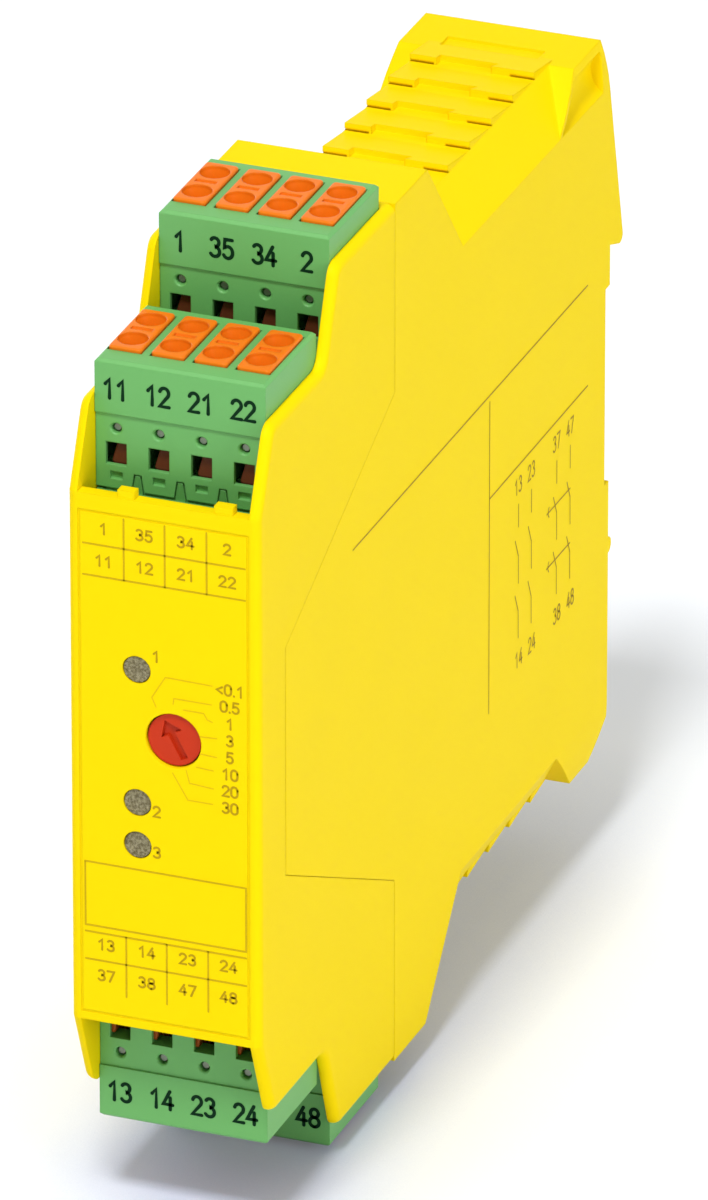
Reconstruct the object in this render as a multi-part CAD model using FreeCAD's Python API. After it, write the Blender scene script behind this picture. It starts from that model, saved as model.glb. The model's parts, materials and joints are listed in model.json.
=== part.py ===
"""Safety relay module for a 35 mm mounting rail, with four pull-off terminal plugs.

Frame, in millimetres: the origin lies on the rail's bearing plane, midway across the module and at
the middle of the rail. +Z is up the wall, +X to the right seen from the front, and the front panel
faces -Y. "Depth" is measured back from the front panel, so Y = depth - SEAT_DEPTH. What the module
has above its middle plane it also has below, mirrored, unless a comment says otherwise.
"""
import FreeCAD, Part
import math
import os

Vector = FreeCAD.Vector

# ---- module -------------------------------------------------------------------------------------
SEAT_DEPTH = 110.0           # front panel to the rail's bearing plane
HOOK_REACH = 4.5             # how far the rail hook reaches behind that plane
WALL = 1.2                   # moulded side walls, roof and floor
PANEL_WALL = 1.5             # front panel
EDGE_ROUND = 1.0             # outer edge of the cover's walls
SLIP = 0.3                   # clearance between pieces that move or are put in by hand
SEAT = 0.1                   # clearance between fixed pieces

# ---- side outline of the front cover (depth, height) ----------------------------------------------
PANEL_TOP = 32.6             # middle plane to the panel's upper end
PANEL_BOTTOM = 31.8          # and to its lower end
LEAN_DEPTH = 3.9             # the side walls lean back to this depth at the front step's corner
FRONT_STEP = 42.2            # wall height beside the upper front plug
FRONT_STEP_BELOW = 41.7      # and beside the lower one
RISE_START = 19.7            # depth where the wall rises to the rear step
RISE_END = 23.7
REAR_STEP = 53.0             # wall height beside the rear plug
CORNER_ROUND = 2.0           # corners of that outline
SEAM_FRONT = 7.8             # depth of the joint between cover and housing, at the panel
SEAM_FRONT_HALF = 13.9       # half the height of the joint's upright stretch there
SEAM_REAR = 41.2             # depth of the joint behind the plugs
SEAM_REAR_HALF = 30.2        # height where the slanting stretch meets it
SEAM_GAP = 0.12              # shadow gap of the joint

# ---- side outline of the rear housing -------------------------------------------------------------
RIDGE_DEPTH = 51.1           # rear end of the high top
ROOF_HALF = 45.1             # louvred roof, above the middle plane
FACET_FOOT = 38.9            # where the slanted facet meets the side wall
FACET_INNER = 7.5            # half the roof's width between the facets
SLOPE_FOOT_DEPTH = 62.4      # depth where the slope behind the ridge meets the facet's foot
TOWER_LENGTH = 16.8          # from the bearing plane forward to the foot of the tower's slanted front
TOWER_ROUND = 30.0           # rounding of the tower's upper flanks
SCOOP_RIM = 0.8              # a scoop in each upper flank leaves this rim in front and behind
SCOOP_TOP_RIM = 0.7          # and this one on top
SCOOP_WALL = 9.7             # half width between the two scoops
SCOOP_ROUND = 4.0            # its upper front corner
SCOOP_REAR_ROUND = 1.0
REAR_TOP_SETBACK = 1.9       # rear top corner, in front of the bearing plane
REAR_TOP_DROP = 1.9          # height of the bevel at that corner
REAR_BULGE = 0.5             # the tower's rear face is slightly convex
HOOK_BOTTOM = 18.8           # underside of the side walls' rear hooks, at the bearing plane
HOOK_TIP = 17.2              # and at their rear ends
HOOK_ROUND = 0.9
SEAT_UPPER = 13.8            # lower end of the upper bearing land
SEAT_LOWER = 11.0            # upper end of the lower bearing land
SEAT_RELIEF = 1.4            # the back is relieved between the lands
HEEL_SETBACK = 4.5           # bevel at the foot's lower rear corner
HEEL_RISE = 3.9

# ---- rail and hook --------------------------------------------------------------------------------
RAIL_HALF = 17.5             # half of the 35 mm rail
RAIL_SHEET = 1.0             # rail lip thickness
HOOK_LIP_HALF = 9.0          # half width of the lip behind the rail's upper edge
HOOK_LIP_DROP = 2.4          # how far the lip reaches down past the hooks
HOOK_LIP_THICK = 2.3
HOOK_LIP_BEVEL = 1.6         # height of the bevel at the back of the lip's end
REST_RIB_DROP = 0.7          # the rail's lower edge sits this far above the two rounded ribs
REST_RIB_RADIUS = 1.0

# ---- louvres --------------------------------------------------------------------------------------
LOUVRE_COUNT = 5
LOUVRE_SETBACK = 10.0        # from the ridge slope's foot to the first slat's leading edge
LOUVRE_END_SETBACK = 4.6     # from the last leading edge to the tower's front
LOUVRE_STEP = 0.9            # how far a slat's leading edge stands over the roof
LOUVRE_RUN = 6.2             # length over which the slat slopes back down to the roof
LOUVRE_SLOT = 0.3            # height of the air slot under that edge
LOUVRE_SLOT_WIDTH = 2.9      # each slat has one slot at each end
NOTCH_LEFT = -4.3            # between the slots the slat's leading edge is set back
NOTCH_RIGHT = 2.3
NOTCH_DEPTH = 1.3
NOTCH_FLARE = 0.5            # its right end flares by this much

RECESS_DEPTH = 0.3           # shallow recess in the tower's top
RECESS_SETBACK = 0.7
RECESS_LENGTH = 2.7
RECESS_HALF = 5.9

# ---- front panel ----------------------------------------------------------------------------------
FRAME_HALF_WIDTH = 10.0      # shadow groove round the label field
FRAME_TOP = 30.6
FRAME_BOTTOM = 30.8
FRAME_GROOVE = 0.22
NUB_HEIGHT = 0.9             # two nubs on the panel's upper end
NUB_SETBACK = 0.2
NUB_SPANS = ((-5.4, -3.4), (5.9, 8.1))
DIAL_X = 1.1
DIAL_Z = 4.3
DIAL_RADIUS = 3.1
DIAL_SUNK = 0.35             # the dial's face lies this far behind the panel
DIAL_HEAD = 1.75             # thickness of the dial's head
DIAL_CLEARANCE = 0.18
DIAL_SHAFT_RADIUS = 1.5
DIAL_SHAFT_LENGTH = 2.6
SHAFT_CLEARANCE = 0.06
DIAL_FIRST_ANGLE = 118.0     # the arrow's direction at the first position, from +X
ARROW_WIDTH = 0.9
ARROW_HEAD = 2.7
ARROW_HEAD_LENGTH = 1.7
ARROW_LENGTH = 4.9
ARROW_DEPTH = 0.5
LAMP_X = -3.2
LAMP_HEIGHTS = (12.2, -4.0, -9.2)
LAMP_RADIUS = 1.55
LAMP_SUNK = 0.15
LAMP_FLANGE = 0.6            # the light guide's flange is this much larger
LAMP_FLANGE_THICK = 0.8

# ---- terminal plugs -------------------------------------------------------------------------------
POLES = 4
POLE_PITCH = 5.0
POLE_SHIFT = -0.1            # the poles sit slightly to the left in the plug
PLUG_DEPTH = 15.1
PLUG_FRONT = 5.2             # depth of the front plug's face
PLUG_TOP = 46.4              # the front plug's outer end
PLUG_BODY = 15.4             # height of the plug's visible body
TIER_DEPTH = 19.1            # the rear plug sits this much deeper
TIER_HEIGHT = 9.6            # and this much further out
LABEL_BAND = 6.4             # height of the proud band with the pole numbers
LABEL_PROUD = 0.25
PLUG_EDGE = 0.35             # chamfer round the plug's outer end
PLUG_SIDE_GAP = 0.05         # plug to each side wall
NOSE_LENGTH = 9.0            # the part that enters the header
NOSE_DEPTH = 8.4
NOSE_SETBACK = 0.6
NOSE_MARGIN = 1.0            # the nose is this much narrower than the plug, each side
WINDOW_WIDTH = 2.45          # screwdriver windows
WINDOW_HEIGHT = 2.7
WINDOW_CENTRE = 11.25        # below the plug's outer end
WINDOW_WALL = 0.55           # the plug's face is this thin round a window
TEST_RADIUS = 0.6            # round test openings
TEST_CENTRE = 8.2
MARK_WIDTH = 1.45            # small sunk marks near the lower edge
MARK_HEIGHT = 0.9
MARK_CENTRE = 13.85
MARK_DEPTH = 0.35
KEYWAY_TOP = 0.9             # trapezoid keyways between the poles
KEYWAY_FOOT = 1.5
KEYWAY_HEIGHT = 2.0
KEY_GAP = 0.16               # keyway to the header's key, all round
KEY_ROOT = 1.5               # the key runs this far down inside the header's front wall

# ---- what each pole holds -------------------------------------------------------------------------
PUSHER_WIDTH = 3.9
PUSHER_DEPTH = 10.4
PUSHER_SETBACK = 2.8         # from the plug's front face
PUSHER_PROUD = 0.4
PUSHER_THICK = 5.0
PUSHER_STROKE = 1.0
PUSHER_ROUND = 0.5
FUNNEL_RADIUS = 1.7
FUNNEL_THROAT = 1.05
FUNNEL_DEPTH = 2.2
FUNNEL_FIRST = 2.6           # from the pusher's front end
FUNNEL_SPACING = 5.3
FUNNEL_RIM = 0.35            # upright wall at the funnel's mouth
VALLEY_WIDTH = 0.7           # shallow valley between the two funnels
VALLEY_DEPTH = 0.25
VALLEY_END = 0.7             # it stops this far from the head's sides
HEAD_EDGE = 0.25             # rounding round the head's top
LEG_DEPTH = 1.5              # narrow leg that joins the head to its toe
LEG_REACH = 7.0
LEG_INNER = 0.85             # the leg's inner side, from the pole's centre
TOE_LOW = 33.75              # wedge-shaped toe behind the window
TOE_HIGH = 36.2
TOE_REACH = 0.4              # the toe overlaps the leg's depth by this much
TOE_ROUND = 0.35
TOE_EDGES = {"upper": (-0.8, -0.1), "lower": (0.5, 0.9)}     # its slanting edge, foot and top
TEST_PIN_RADIUS = 0.42       # contact stud behind the test opening
TEST_PIN_SUNK = 0.55         # below the plug's face
TEST_RIM = 0.15              # bevel round the test opening
CHAMBER_FLOOR = 2.0          # plastic under the clamping chamber
CLAMP_WIDTH = 3.3
CLAMP_STRIP = 0.4
CLAMP_HEIGHT = 7.4
PIN_SIZE = 0.8
PIN_TOP_GAP = 1.4            # pin ends this far below the header's rim
PIN_DEPTH = 4.8              # from the plug's front face
SOCKET_INNER = 1.35
SOCKET_STRIP = 0.3

# ---- headers --------------------------------------------------------------------------------------
HEADER_WALL = 0.6
HEADER_FLOOR = 1.5
LEDGE_THICK = 1.2            # ledges on the side walls carry the headers
LEDGE_WIDTH = 1.4
PARTITION_THICK = 1.2        # cross wall between the two plug bays
PARTITION_TOP = 40.0
PARTITION_FOOT = 27.0
TAIL_FIRST = 3.5             # first pin tail below the header
TAIL_PITCH = 2.5             # each next pole's tail lies this much further in
TAIL_END = 0.25              # solder end past the board

# ---- circuit boards -------------------------------------------------------------------------------
BOARD_THICK = 1.0
BOARD_WALL_GAP = 0.6         # main board to the left side wall
BOARD_FRONT = 8.4
BOARD_REAR_GAP = 8.0         # from the board's rear edge to the bearing plane
BOARD_HALVES = (18.2, 27.8, 36.8)    # half heights, stepping back with the plug bays
BOARD_STEPS = (23.2, 43.0)           # depths of those steps
BOARD_PAD = 4.0
PANEL_BOARD_DEPTH = 6.9      # small board behind the panel
PANEL_BOARD_HALF = 16.4
LINK_PINS = 6
LINK_SPACING = 2.0
LINK_SIZE = 2.4
LINK_PIN = 0.6
RELAY_COUNT = 4
RELAY_GAP = 1.0              # between neighbours
RELAY_END_GAP = 0.8          # from the last relay to the board's rear edge
RELAY_LENGTH = 40.0
RELAY_HEIGHT = 15.4
RELAY_SETBACK = 3.8          # first relay, behind the joint
RELAY_ROUND = 0.6
CORE_DEPTH = 13.0
CORE_LENGTH = 15.0
CORE_HEIGHT = 11.0
CORE_YOKE = 3.0
WINDING_LENGTH = 19.0
WINDING_DEPTH = 10.0
WINDING_HEIGHT = 9.0
CORE_START = 24.5
CAPACITOR_RADIUS = 4.4
CAPACITOR_HEIGHT = 12.0
CAPACITOR_DEPTH = 17.0
CAPACITOR_OFFSET = 6.4
CAPACITOR_CRIMP = 0.45       # depth and half height of the groove rolled in near the foot
CAPACITOR_CRIMP_HEIGHT = 2.0
CHIP_SIZE = 10.0
CHIP_THICK = 1.6
CHIP_SETBACK = 26.0          # centre, in front of the board's rear edge
CHIP_HEIGHT = 28.0
SWITCH_SIZE = 9.8
LED_SIZE = (2.0, 0.7, 1.4)

# ---- rail catch -----------------------------------------------------------------------------------
CATCH_HALF = 4.0
CATCH_THICK = 3.2
CATCH_STEM_HALF = 2.5
CATCH_COVER = 1.6            # the housing's back over the catch's plate
CATCH_TOP = 13.4
CATCH_NOSE_TOP = 15.2        # latched: the nose's tip behind the rail
CATCH_NOSE_THICK = 1.9
CATCH_NOSE_FOOT = 21.0
CATCH_STROKE = 4.0
CATCH_END = 44.6
CATCH_WINDOW_HALF = 2.2
CATCH_WINDOW_TOP = 25.0
CATCH_WINDOW_BOTTOM = 41.0
CATCH_SLOT = 1.2             # screwdriver slot in the catch's lower end
CATCH_SLOT_DEPTH = 2.2
PEG_TOP = 35.4               # fixed peg that carries the spring
PEG_THICK = 1.6
CATCH_WALL = 1.2
SPRING_WIRE = 0.36
SPRING_RADIUS = 1.05
SPRING_TURNS = 6

# ---- derived --------------------------------------------------------------------------------------
PLUG_WIDTH = POLES * POLE_PITCH
WIDTH = PLUG_WIDTH + 2 * (WALL + PLUG_SIDE_GAP)     # across the module, one rail pitch
HALF = WIDTH / 2
INNER = HALF - WALL                          # inner face of the side walls
KEYWAY_BACK = PLUG_FRONT + LABEL_PROUD + MARK_DEPTH
HEADER_RIM = PLUG_TOP - PLUG_BODY - SLIP     # header's open end
HEADER_CAVITY = PLUG_TOP - PLUG_BODY - NOSE_LENGTH - SLIP
HEADER_BASE = HEADER_CAVITY - HEADER_FLOOR
NOSE_HALF = PLUG_WIDTH / 2 - NOSE_MARGIN
HEADER_HALF = NOSE_HALF + SLIP + HEADER_WALL
HEADER_FRONT = PLUG_FRONT + NOSE_SETBACK - SLIP - HEADER_WALL
HEADER_REAR = PLUG_FRONT + NOSE_SETBACK + NOSE_DEPTH + SLIP + HEADER_WALL
CHAMBER_BOTTOM = PLUG_TOP - PLUG_BODY + CHAMBER_FLOOR
BOARD_LEFT = -INNER + BOARD_WALL_GAP
BOARD_FACE = BOARD_LEFT + BOARD_THICK        # side of the main board that carries the parts
SLOPE = (SLOPE_FOOT_DEPTH - RIDGE_DEPTH) / (REAR_STEP - FACET_FOOT)
TOWER_FOOT_DEPTH = SEAT_DEPTH - TOWER_LENGTH
LOUVRE_FIRST = RIDGE_DEPTH + (REAR_STEP - ROOF_HALF) * SLOPE + LOUVRE_SETBACK
LOUVRE_LAST = TOWER_FOOT_DEPTH + ROOF_HALF - FACET_FOOT - LOUVRE_END_SETBACK
LOUVRE_SPACING = (LOUVRE_LAST - LOUVRE_FIRST) / (LOUVRE_COUNT - 1)
BOARD_REAR = SEAT_DEPTH - BOARD_REAR_GAP
RELAY_START = SEAM_REAR + RELAY_SETBACK
RELAY_SPACING = (BOARD_REAR - RELAY_END_GAP + RELAY_GAP - RELAY_START) / RELAY_COUNT
FACET_RISE = ROOF_HALF - FACET_FOOT
CAVITY_REAR = SEAT_DEPTH - SEAT_RELIEF - WALL - SLIP
CATCH_BACK = SEAT_DEPTH - CATCH_COVER - SLIP     # rear face of the catch's plate
CATCH_FRONT = CATCH_BACK - CATCH_THICK
FAR = 200.0                                  # longer than anything here, for cutting tools
OVER = 1.0                                   # how far a cutting tool reaches past a face


# ---- small helpers --------------------------------------------------------------------------------
def y_at(depth):
    return depth - SEAT_DEPTH


def box(x_span, depth_span, z_span):
    """A box from three (low, high) spans, the middle one as depths."""
    size = [high - low for low, high in (x_span, depth_span, z_span)]
    return Part.makeBox(*size, Vector(x_span[0], y_at(depth_span[0]), z_span[0]))


def centred(half):
    return (-half, half)


def rounded_wire(points):
    """Closed wire through (point, radius) pairs; a radius above zero rounds that corner."""
    starts, ends, middles = [], [], []
    count = len(points)
    for i, (corner, radius) in enumerate(points):
        before = (points[i - 1][0] - corner).normalize()
        after = (points[(i + 1) % count][0] - corner).normalize()
        half_turn = before.getAngle(after) / 2
        reach = radius / math.tan(half_turn)
        starts.append(corner + before * reach)
        ends.append(corner + after * reach)
        inward = (before + after).normalize()
        middles.append(corner + inward * (radius / math.sin(half_turn) - radius))
    edges = []
    for i, (corner, radius) in enumerate(points):
        if radius > 0:
            edges.append(Part.Arc(starts[i], middles[i], ends[i]).toShape())
        following = starts[(i + 1) % count]
        if (following - ends[i]).Length > 1e-6:
            edges.append(Part.makeLine(ends[i], following))
    return Part.Wire(edges)


def side_prism(outline, half_width):
    """Extrude a side outline of (depth, height[, radius]) points across the module."""
    points = []
    for point in outline:
        radius = point[2] if len(point) > 2 else 0.0
        points.append((Vector(-half_width, y_at(point[0]), point[1]), radius))
    return Part.Face(rounded_wire(points)).extrude(Vector(2 * half_width, 0, 0))


def turned_down(outline):
    """The mirror image below of an upper outline, listed from the back to the front."""
    return [(p[0], -p[1]) + tuple(p[2:]) for p in reversed(outline)]


def with_mirror(outline):
    """Close an upper outline, listed from the front to the back, with its mirror image below."""
    return outline + turned_down(outline)


def cylinder(radius, length, x, depth, z, axis=Vector(0, 1, 0)):
    return Part.makeCylinder(radius, length, Vector(x, y_at(depth), z), axis)


def mirrored(shape):
    return shape.mirror(Vector(0, 0, 0), Vector(0, 0, 1))


def both_ends(shape):
    return [shape, mirrored(shape)]


def fused(shapes):
    return shapes[0].fuse(shapes[1:]).removeSplitter()


def tier_shift(tier):
    """Offset from the front plug bay (0) to the rear one (1)."""
    return Vector(0, tier * TIER_DEPTH, tier * TIER_HEIGHT)


def pole_x(pole):
    return (pole - (POLES - 1) / 2) * POLE_PITCH + POLE_SHIFT


def gap_x(gap):
    """Middle between one pole and the next."""
    return pole_x(gap) + POLE_PITCH / 2


def strip(path, thickness, width, x):
    """A bent metal strip: a (depth, height) path thickened to one side and given a width."""
    near = [Vector(0, y_at(d), z) for d, z in path]
    far = []
    for i, point in enumerate(near):
        before = (point - near[max(i - 1, 0)])
        after = (near[min(i + 1, len(near) - 1)] - point)
        normals = [Vector(0, -v.z, v.y).normalize() for v in (before, after) if v.Length > 0]
        mean = sum(normals[1:], normals[0]).normalize()
        far.append(point + mean * (thickness / mean.dot(normals[0])))
    wire = Part.makePolygon(near + far[::-1] + near[:1])
    solid = Part.Face(wire).extrude(Vector(width, 0, 0))
    solid.translate(Vector(x - width / 2, 0, 0))
    return solid


# ---- front cover ----------------------------------------------------------------------------------
def cover_end(panel_end, front_step):
    """Upper half of the cover's side outline, from the panel's end back to the joint."""
    seam = SEAM_REAR - SEAM_GAP
    return [
        (0.0, panel_end),
        (LEAN_DEPTH, front_step, CORNER_ROUND),
        (RISE_START, front_step, CORNER_ROUND),
        (RISE_END, REAR_STEP, CORNER_ROUND),
        (seam, REAR_STEP),
        (seam, SEAM_REAR_HALF),
        (SEAM_FRONT - SEAM_GAP, SEAM_FRONT_HALF),
    ]


def cover_outline():
    return cover_end(PANEL_TOP, FRONT_STEP) + turned_down(cover_end(PANEL_BOTTOM, FRONT_STEP_BELOW))


def soften_outer_edges(shape, front_limit):
    """Round the edges between the side faces and the visible rim in front of a depth."""
    chosen = []
    for edge in shape.Edges:
        bounds = edge.BoundBox
        on_side = abs(abs(bounds.XMin) - HALF) < 1e-4 and abs(bounds.XLength) < 1e-4
        centre = edge.CenterOfMass
        if on_side and centre.y < front_limit and is_rim(centre):
            chosen.append(edge)
    return shape.makeFillet(EDGE_ROUND, chosen)


def is_rim(point):
    """True on the panel's ends, the steps and the rise, false on the joint to the housing."""
    depth, height = point.y + SEAT_DEPTH, abs(point.z)
    on_seam_slope = depth > SEAM_FRONT - 1 and height < SEAM_REAR_HALF + 1
    on_seam_upright = depth > SEAM_REAR - 1
    return not on_seam_slope and not on_seam_upright


def label_frame():
    """Thin shadow groove round the panel's label field."""
    depth = (-FRAME_GROOVE, FRAME_GROOVE)
    outer = box(centred(FRAME_HALF_WIDTH), depth, (-FRAME_BOTTOM, FRAME_TOP))
    inside = FRAME_HALF_WIDTH - FRAME_GROOVE
    inner = box(centred(inside), depth, (FRAME_GROOVE - FRAME_BOTTOM, FRAME_TOP - FRAME_GROOVE))
    return outer.cut(inner)


def panel_holes():
    through = PANEL_WALL + 2 * OVER
    holes = [cylinder(DIAL_RADIUS + DIAL_CLEARANCE, through, DIAL_X, -OVER, DIAL_Z)]
    for height in LAMP_HEIGHTS:
        holes.append(cylinder(LAMP_RADIUS + SEAT, through, LAMP_X, -OVER, height))
    return holes


def header_ledges():
    """Ledges on both side walls, one pair under each header, and the bays' cross wall."""
    ledges = []
    for tier in (0, 1):
        for left in (-INNER - WALL / 2, INNER - LEDGE_WIDTH):
            top = HEADER_BASE - SEAT
            ledge = box((left, left + LEDGE_WIDTH + WALL / 2), (HEADER_FRONT, HEADER_REAR),
                        (top - LEDGE_THICK, top))
            ledge.translate(tier_shift(tier))
            ledges += both_ends(ledge)
    start = PLUG_FRONT + PLUG_DEPTH + (TIER_DEPTH - PLUG_DEPTH - PARTITION_THICK) / 2
    partition = box(centred(INNER + WALL / 2), (start, start + PARTITION_THICK),
                    (PARTITION_FOOT, PARTITION_TOP))
    return ledges + both_ends(partition)


def front_cover():
    shell = soften_outer_edges(side_prism(cover_outline(), HALF), y_at(SEAM_REAR))
    bay_end = PLUG_FRONT + TIER_DEPTH + PLUG_DEPTH + SLIP
    bays = box(centred(INNER), (PANEL_WALL, bay_end), centred(FAR))
    past_panel = [box(centred(INNER), (-OVER, PANEL_WALL), span)
                  for span in ((PANEL_TOP, FAR), (-FAR, -PANEL_BOTTOM))]
    shell = shell.cut([bays] + past_panel)
    nubs = [box(span, (NUB_SETBACK, PANEL_WALL), (PANEL_TOP - OVER, PANEL_TOP + NUB_HEIGHT))
            for span in NUB_SPANS]
    shell = fused([shell] + nubs + header_ledges())
    return shell.cut([label_frame()] + panel_holes())


# ---- rear housing ---------------------------------------------------------------------------------
def slope_depth(height, inset=0.0):
    """Depth of the slope behind the ridge at a height, with the surface moved inwards."""
    return RIDGE_DEPTH + (REAR_STEP - height) * SLOPE - inset * math.hypot(1, SLOPE)


def tower_front_depth(height, inset=0.0):
    """Depth of the tower's 45 degree front at a height."""
    return TOWER_FOOT_DEPTH + height - FACET_FOOT + inset * math.sqrt(2)


def tower_back_depth(height, inset=0.0):
    """Depth of the tower's rear face, from its top bevel down to the hook."""
    top_depth = SEAT_DEPTH - REAR_TOP_SETBACK + REAR_BULGE
    top_height = ROOF_HALF - REAR_TOP_DROP
    lean = (SEAT_DEPTH + HOOK_REACH - top_depth) / (top_height - HOOK_TIP)
    return top_depth + lean * (top_height - height) - inset * math.hypot(1, lean)


def housing_outline():
    relief = SEAT_DEPTH - SEAT_RELIEF
    rear_top = SEAT_DEPTH - REAR_TOP_SETBACK
    upper = [
        (SEAM_FRONT, SEAM_FRONT_HALF),
        (SEAM_REAR, SEAM_REAR_HALF),
        (SEAM_REAR, REAR_STEP),
        (RIDGE_DEPTH, REAR_STEP),
        (slope_depth(ROOF_HALF), ROOF_HALF),
        (rear_top, ROOF_HALF),
    ]
    hook = [
        (rear_top + REAR_BULGE, ROOF_HALF - REAR_TOP_DROP),
        (tower_back_depth(HOOK_TIP), HOOK_TIP, HOOK_ROUND),
        (SEAT_DEPTH, HOOK_BOTTOM),
        (SEAT_DEPTH, SEAT_UPPER),
        (relief, SEAT_UPPER),
        (relief, -SEAT_LOWER),
        (SEAT_DEPTH, -SEAT_LOWER),
        (SEAT_DEPTH, HEEL_RISE - ROOF_HALF),
    ]
    lower = [(SEAT_DEPTH - HEEL_SETBACK, -ROOF_HALF)] + [(d, -z) for d, z in reversed(upper[:-1])]
    return upper + hook + lower


def facet_line(inset):
    """The facet's two ends (half width, height), moved inwards by an inset."""
    run = HALF - FACET_INNER
    length = math.hypot(run, FACET_RISE)
    shift_x, shift_z = inset * FACET_RISE / length, inset * run / length
    return (HALF - shift_x, FACET_FOOT - shift_z), (FACET_INNER - shift_x, ROOF_HALF - shift_z)


def facet_wedge(inset, side_outline):
    """What lies outside the plane of the right upper facet, within a side outline."""
    (foot_x, foot_z), (top_x, top_z) = facet_line(inset)
    slope_x = (top_x - foot_x) / (top_z - foot_z)
    low, high = foot_z - WALL, REAR_STEP + WALL
    section = [(foot_x + slope_x * (low - foot_z), low), (foot_x + slope_x * (high - foot_z), high),
               (HALF + WALL * 2, high), (HALF + WALL * 2, low)]
    wire = Part.makePolygon([Vector(x, y_at(0), z) for x, z in section + section[:1]])
    prism = Part.Face(wire).extrude(Vector(0, FAR, 0))
    return prism.common(side_prism(side_outline, HALF + WALL * 3))


def facet_cutter(inset=0.0, whole=False):
    """Wedge from the ridge slope to the tower's front, or right through the tower."""
    low, high = facet_line(inset)[0][1] - WALL, REAR_STEP + WALL
    front = [(slope_depth(z, inset), z) for z in (low, high)]
    rear = [(FAR if whole else tower_front_depth(z, inset), z) for z in (high, low)]
    return facet_wedge(inset, front + rear)


def flank_scoop():
    """Concave scoop in the tower's upper flanks, from the facet's foot line to a rim at the top."""
    top = ROOF_HALF - SCOOP_TOP_RIM
    rear = tower_back_depth(ROOF_HALF) - SCOOP_RIM
    outline = [(tower_front_depth(FACET_FOOT) + SCOOP_RIM, FACET_FOOT),
               (tower_front_depth(top) + SCOOP_RIM, top, SCOOP_ROUND), (rear, top, SCOOP_REAR_ROUND),
               (rear, FACET_FOOT)]
    half_chord, sag = (top - FACET_FOOT) / 2, HALF - SCOOP_WALL
    radius = (half_chord ** 2 + sag ** 2) / (2 * sag)
    hollow = cylinder(radius, FAR, SCOOP_WALL + radius, 0, FACET_FOOT + half_chord)
    scoop = hollow.common(side_prism(outline, FAR))
    return [scoop, scoop.mirror(Vector(0, 0, 0), Vector(1, 0, 0))]


def tower_rounding():
    """What lies outside the tower's gently rounded right upper flank."""
    centre_x = HALF - TOWER_ROUND
    block = box((HALF - WALL * 2, HALF + OVER), (TOWER_FOOT_DEPTH, SEAT_DEPTH + HOOK_REACH + OVER),
                (FACET_FOOT, ROOF_HALF + OVER))
    return block.cut(cylinder(TOWER_ROUND, FAR, centre_x, 0, FACET_FOOT))


def four_corners(shape):
    """A shape at the right upper corner, and its images at the other three."""
    pair = both_ends(shape)
    return pair + [item.mirror(Vector(0, 0, 0), Vector(1, 0, 0)) for item in pair]


def housing_cavity():
    """Hollow inside, open to the front, one wall thickness within every outer surface."""
    top, roof = REAR_STEP - WALL, ROOF_HALF - WALL
    hook_floor = HOOK_BOTTOM + WALL
    heel_length = math.hypot(HEEL_SETBACK, HEEL_RISE)
    heel_slope = HEEL_RISE / HEEL_SETBACK
    heel_depth = SEAT_DEPTH - HEEL_SETBACK - WALL * HEEL_RISE / heel_length
    heel_height = WALL * HEEL_SETBACK / heel_length - ROOF_HALF
    outline = [
        (0.0, top),
        (slope_depth(top, WALL), top),
        (slope_depth(roof, WALL), roof),
        (tower_back_depth(roof, WALL), roof),
        (tower_back_depth(hook_floor, WALL), hook_floor),
        (CAVITY_REAR, hook_floor),
        (CAVITY_REAR, heel_height + (CAVITY_REAR - heel_depth) * heel_slope),
        (heel_depth + (-roof - heel_height) / heel_slope, -roof),
        (slope_depth(roof, WALL), -roof),
        (slope_depth(top, WALL), -top),
        (0.0, -top),
    ]
    return side_prism(outline, INNER).cut(four_corners(facet_cutter(WALL, True)))


def louvre_edges():
    return [LOUVRE_FIRST + i * LOUVRE_SPACING for i in range(LOUVRE_COUNT)]


def louvre_slats():
    """Slats that rise from the roof to a leading edge and slope back down behind it."""
    slats = []
    for edge in louvre_edges():
        slat = side_prism([(edge, ROOF_HALF - WALL / 2), (edge, ROOF_HALF + LOUVRE_STEP),
                           (edge + LOUVRE_RUN, ROOF_HALF), (edge + LOUVRE_RUN, ROOF_HALF - WALL / 2)],
                          FACET_INNER)
        slats += both_ends(slat)
    return slats


def louvre_notches():
    """Set-back stretches of the leading edges, between their slots."""
    low, high = ROOF_HALF, ROOF_HALF + LOUVRE_STEP + OVER
    notches = []
    for edge in louvre_edges():
        plan = [(NOTCH_LEFT, -LOUVRE_SLOT), (NOTCH_RIGHT, -LOUVRE_SLOT), (NOTCH_RIGHT, 0),
                (NOTCH_RIGHT + NOTCH_FLARE, NOTCH_DEPTH), (NOTCH_LEFT, NOTCH_DEPTH)]
        wire = Part.makePolygon([Vector(x, y_at(edge + d), low) for x, d in plan + plan[:1]])
        notches += both_ends(Part.Face(wire).extrude(Vector(0, 0, high - low)))
    return notches


def louvre_slots():
    """Air slots under both ends of each leading edge, slanting down through the roof."""
    slots = []
    drop = LOUVRE_SLOT + WALL
    for edge in louvre_edges():
        start = edge - LOUVRE_SLOT
        slot = side_prism([(start, ROOF_HALF), (start, ROOF_HALF + LOUVRE_SLOT),
                           (edge, ROOF_HALF + LOUVRE_SLOT), (edge + drop, ROOF_HALF + LOUVRE_SLOT - drop),
                           (edge + drop, ROOF_HALF - drop), (edge, ROOF_HALF)], LOUVRE_SLOT_WIDTH / 2)
        offset = FACET_INNER - LOUVRE_SLOT_WIDTH / 2
        for side in (-1, 1):
            slots += both_ends(slot.translated(Vector(side * offset, 0, 0)))
    return slots


def tower_recess():
    """Shallow rectangular recess in the tower's top and in the foot's underside."""
    start = tower_front_depth(ROOF_HALF) + RECESS_SETBACK
    recess = box(centred(RECESS_HALF), (start, start + RECESS_LENGTH), (ROOF_HALF - RECESS_DEPTH, FAR))
    return [recess]


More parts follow.
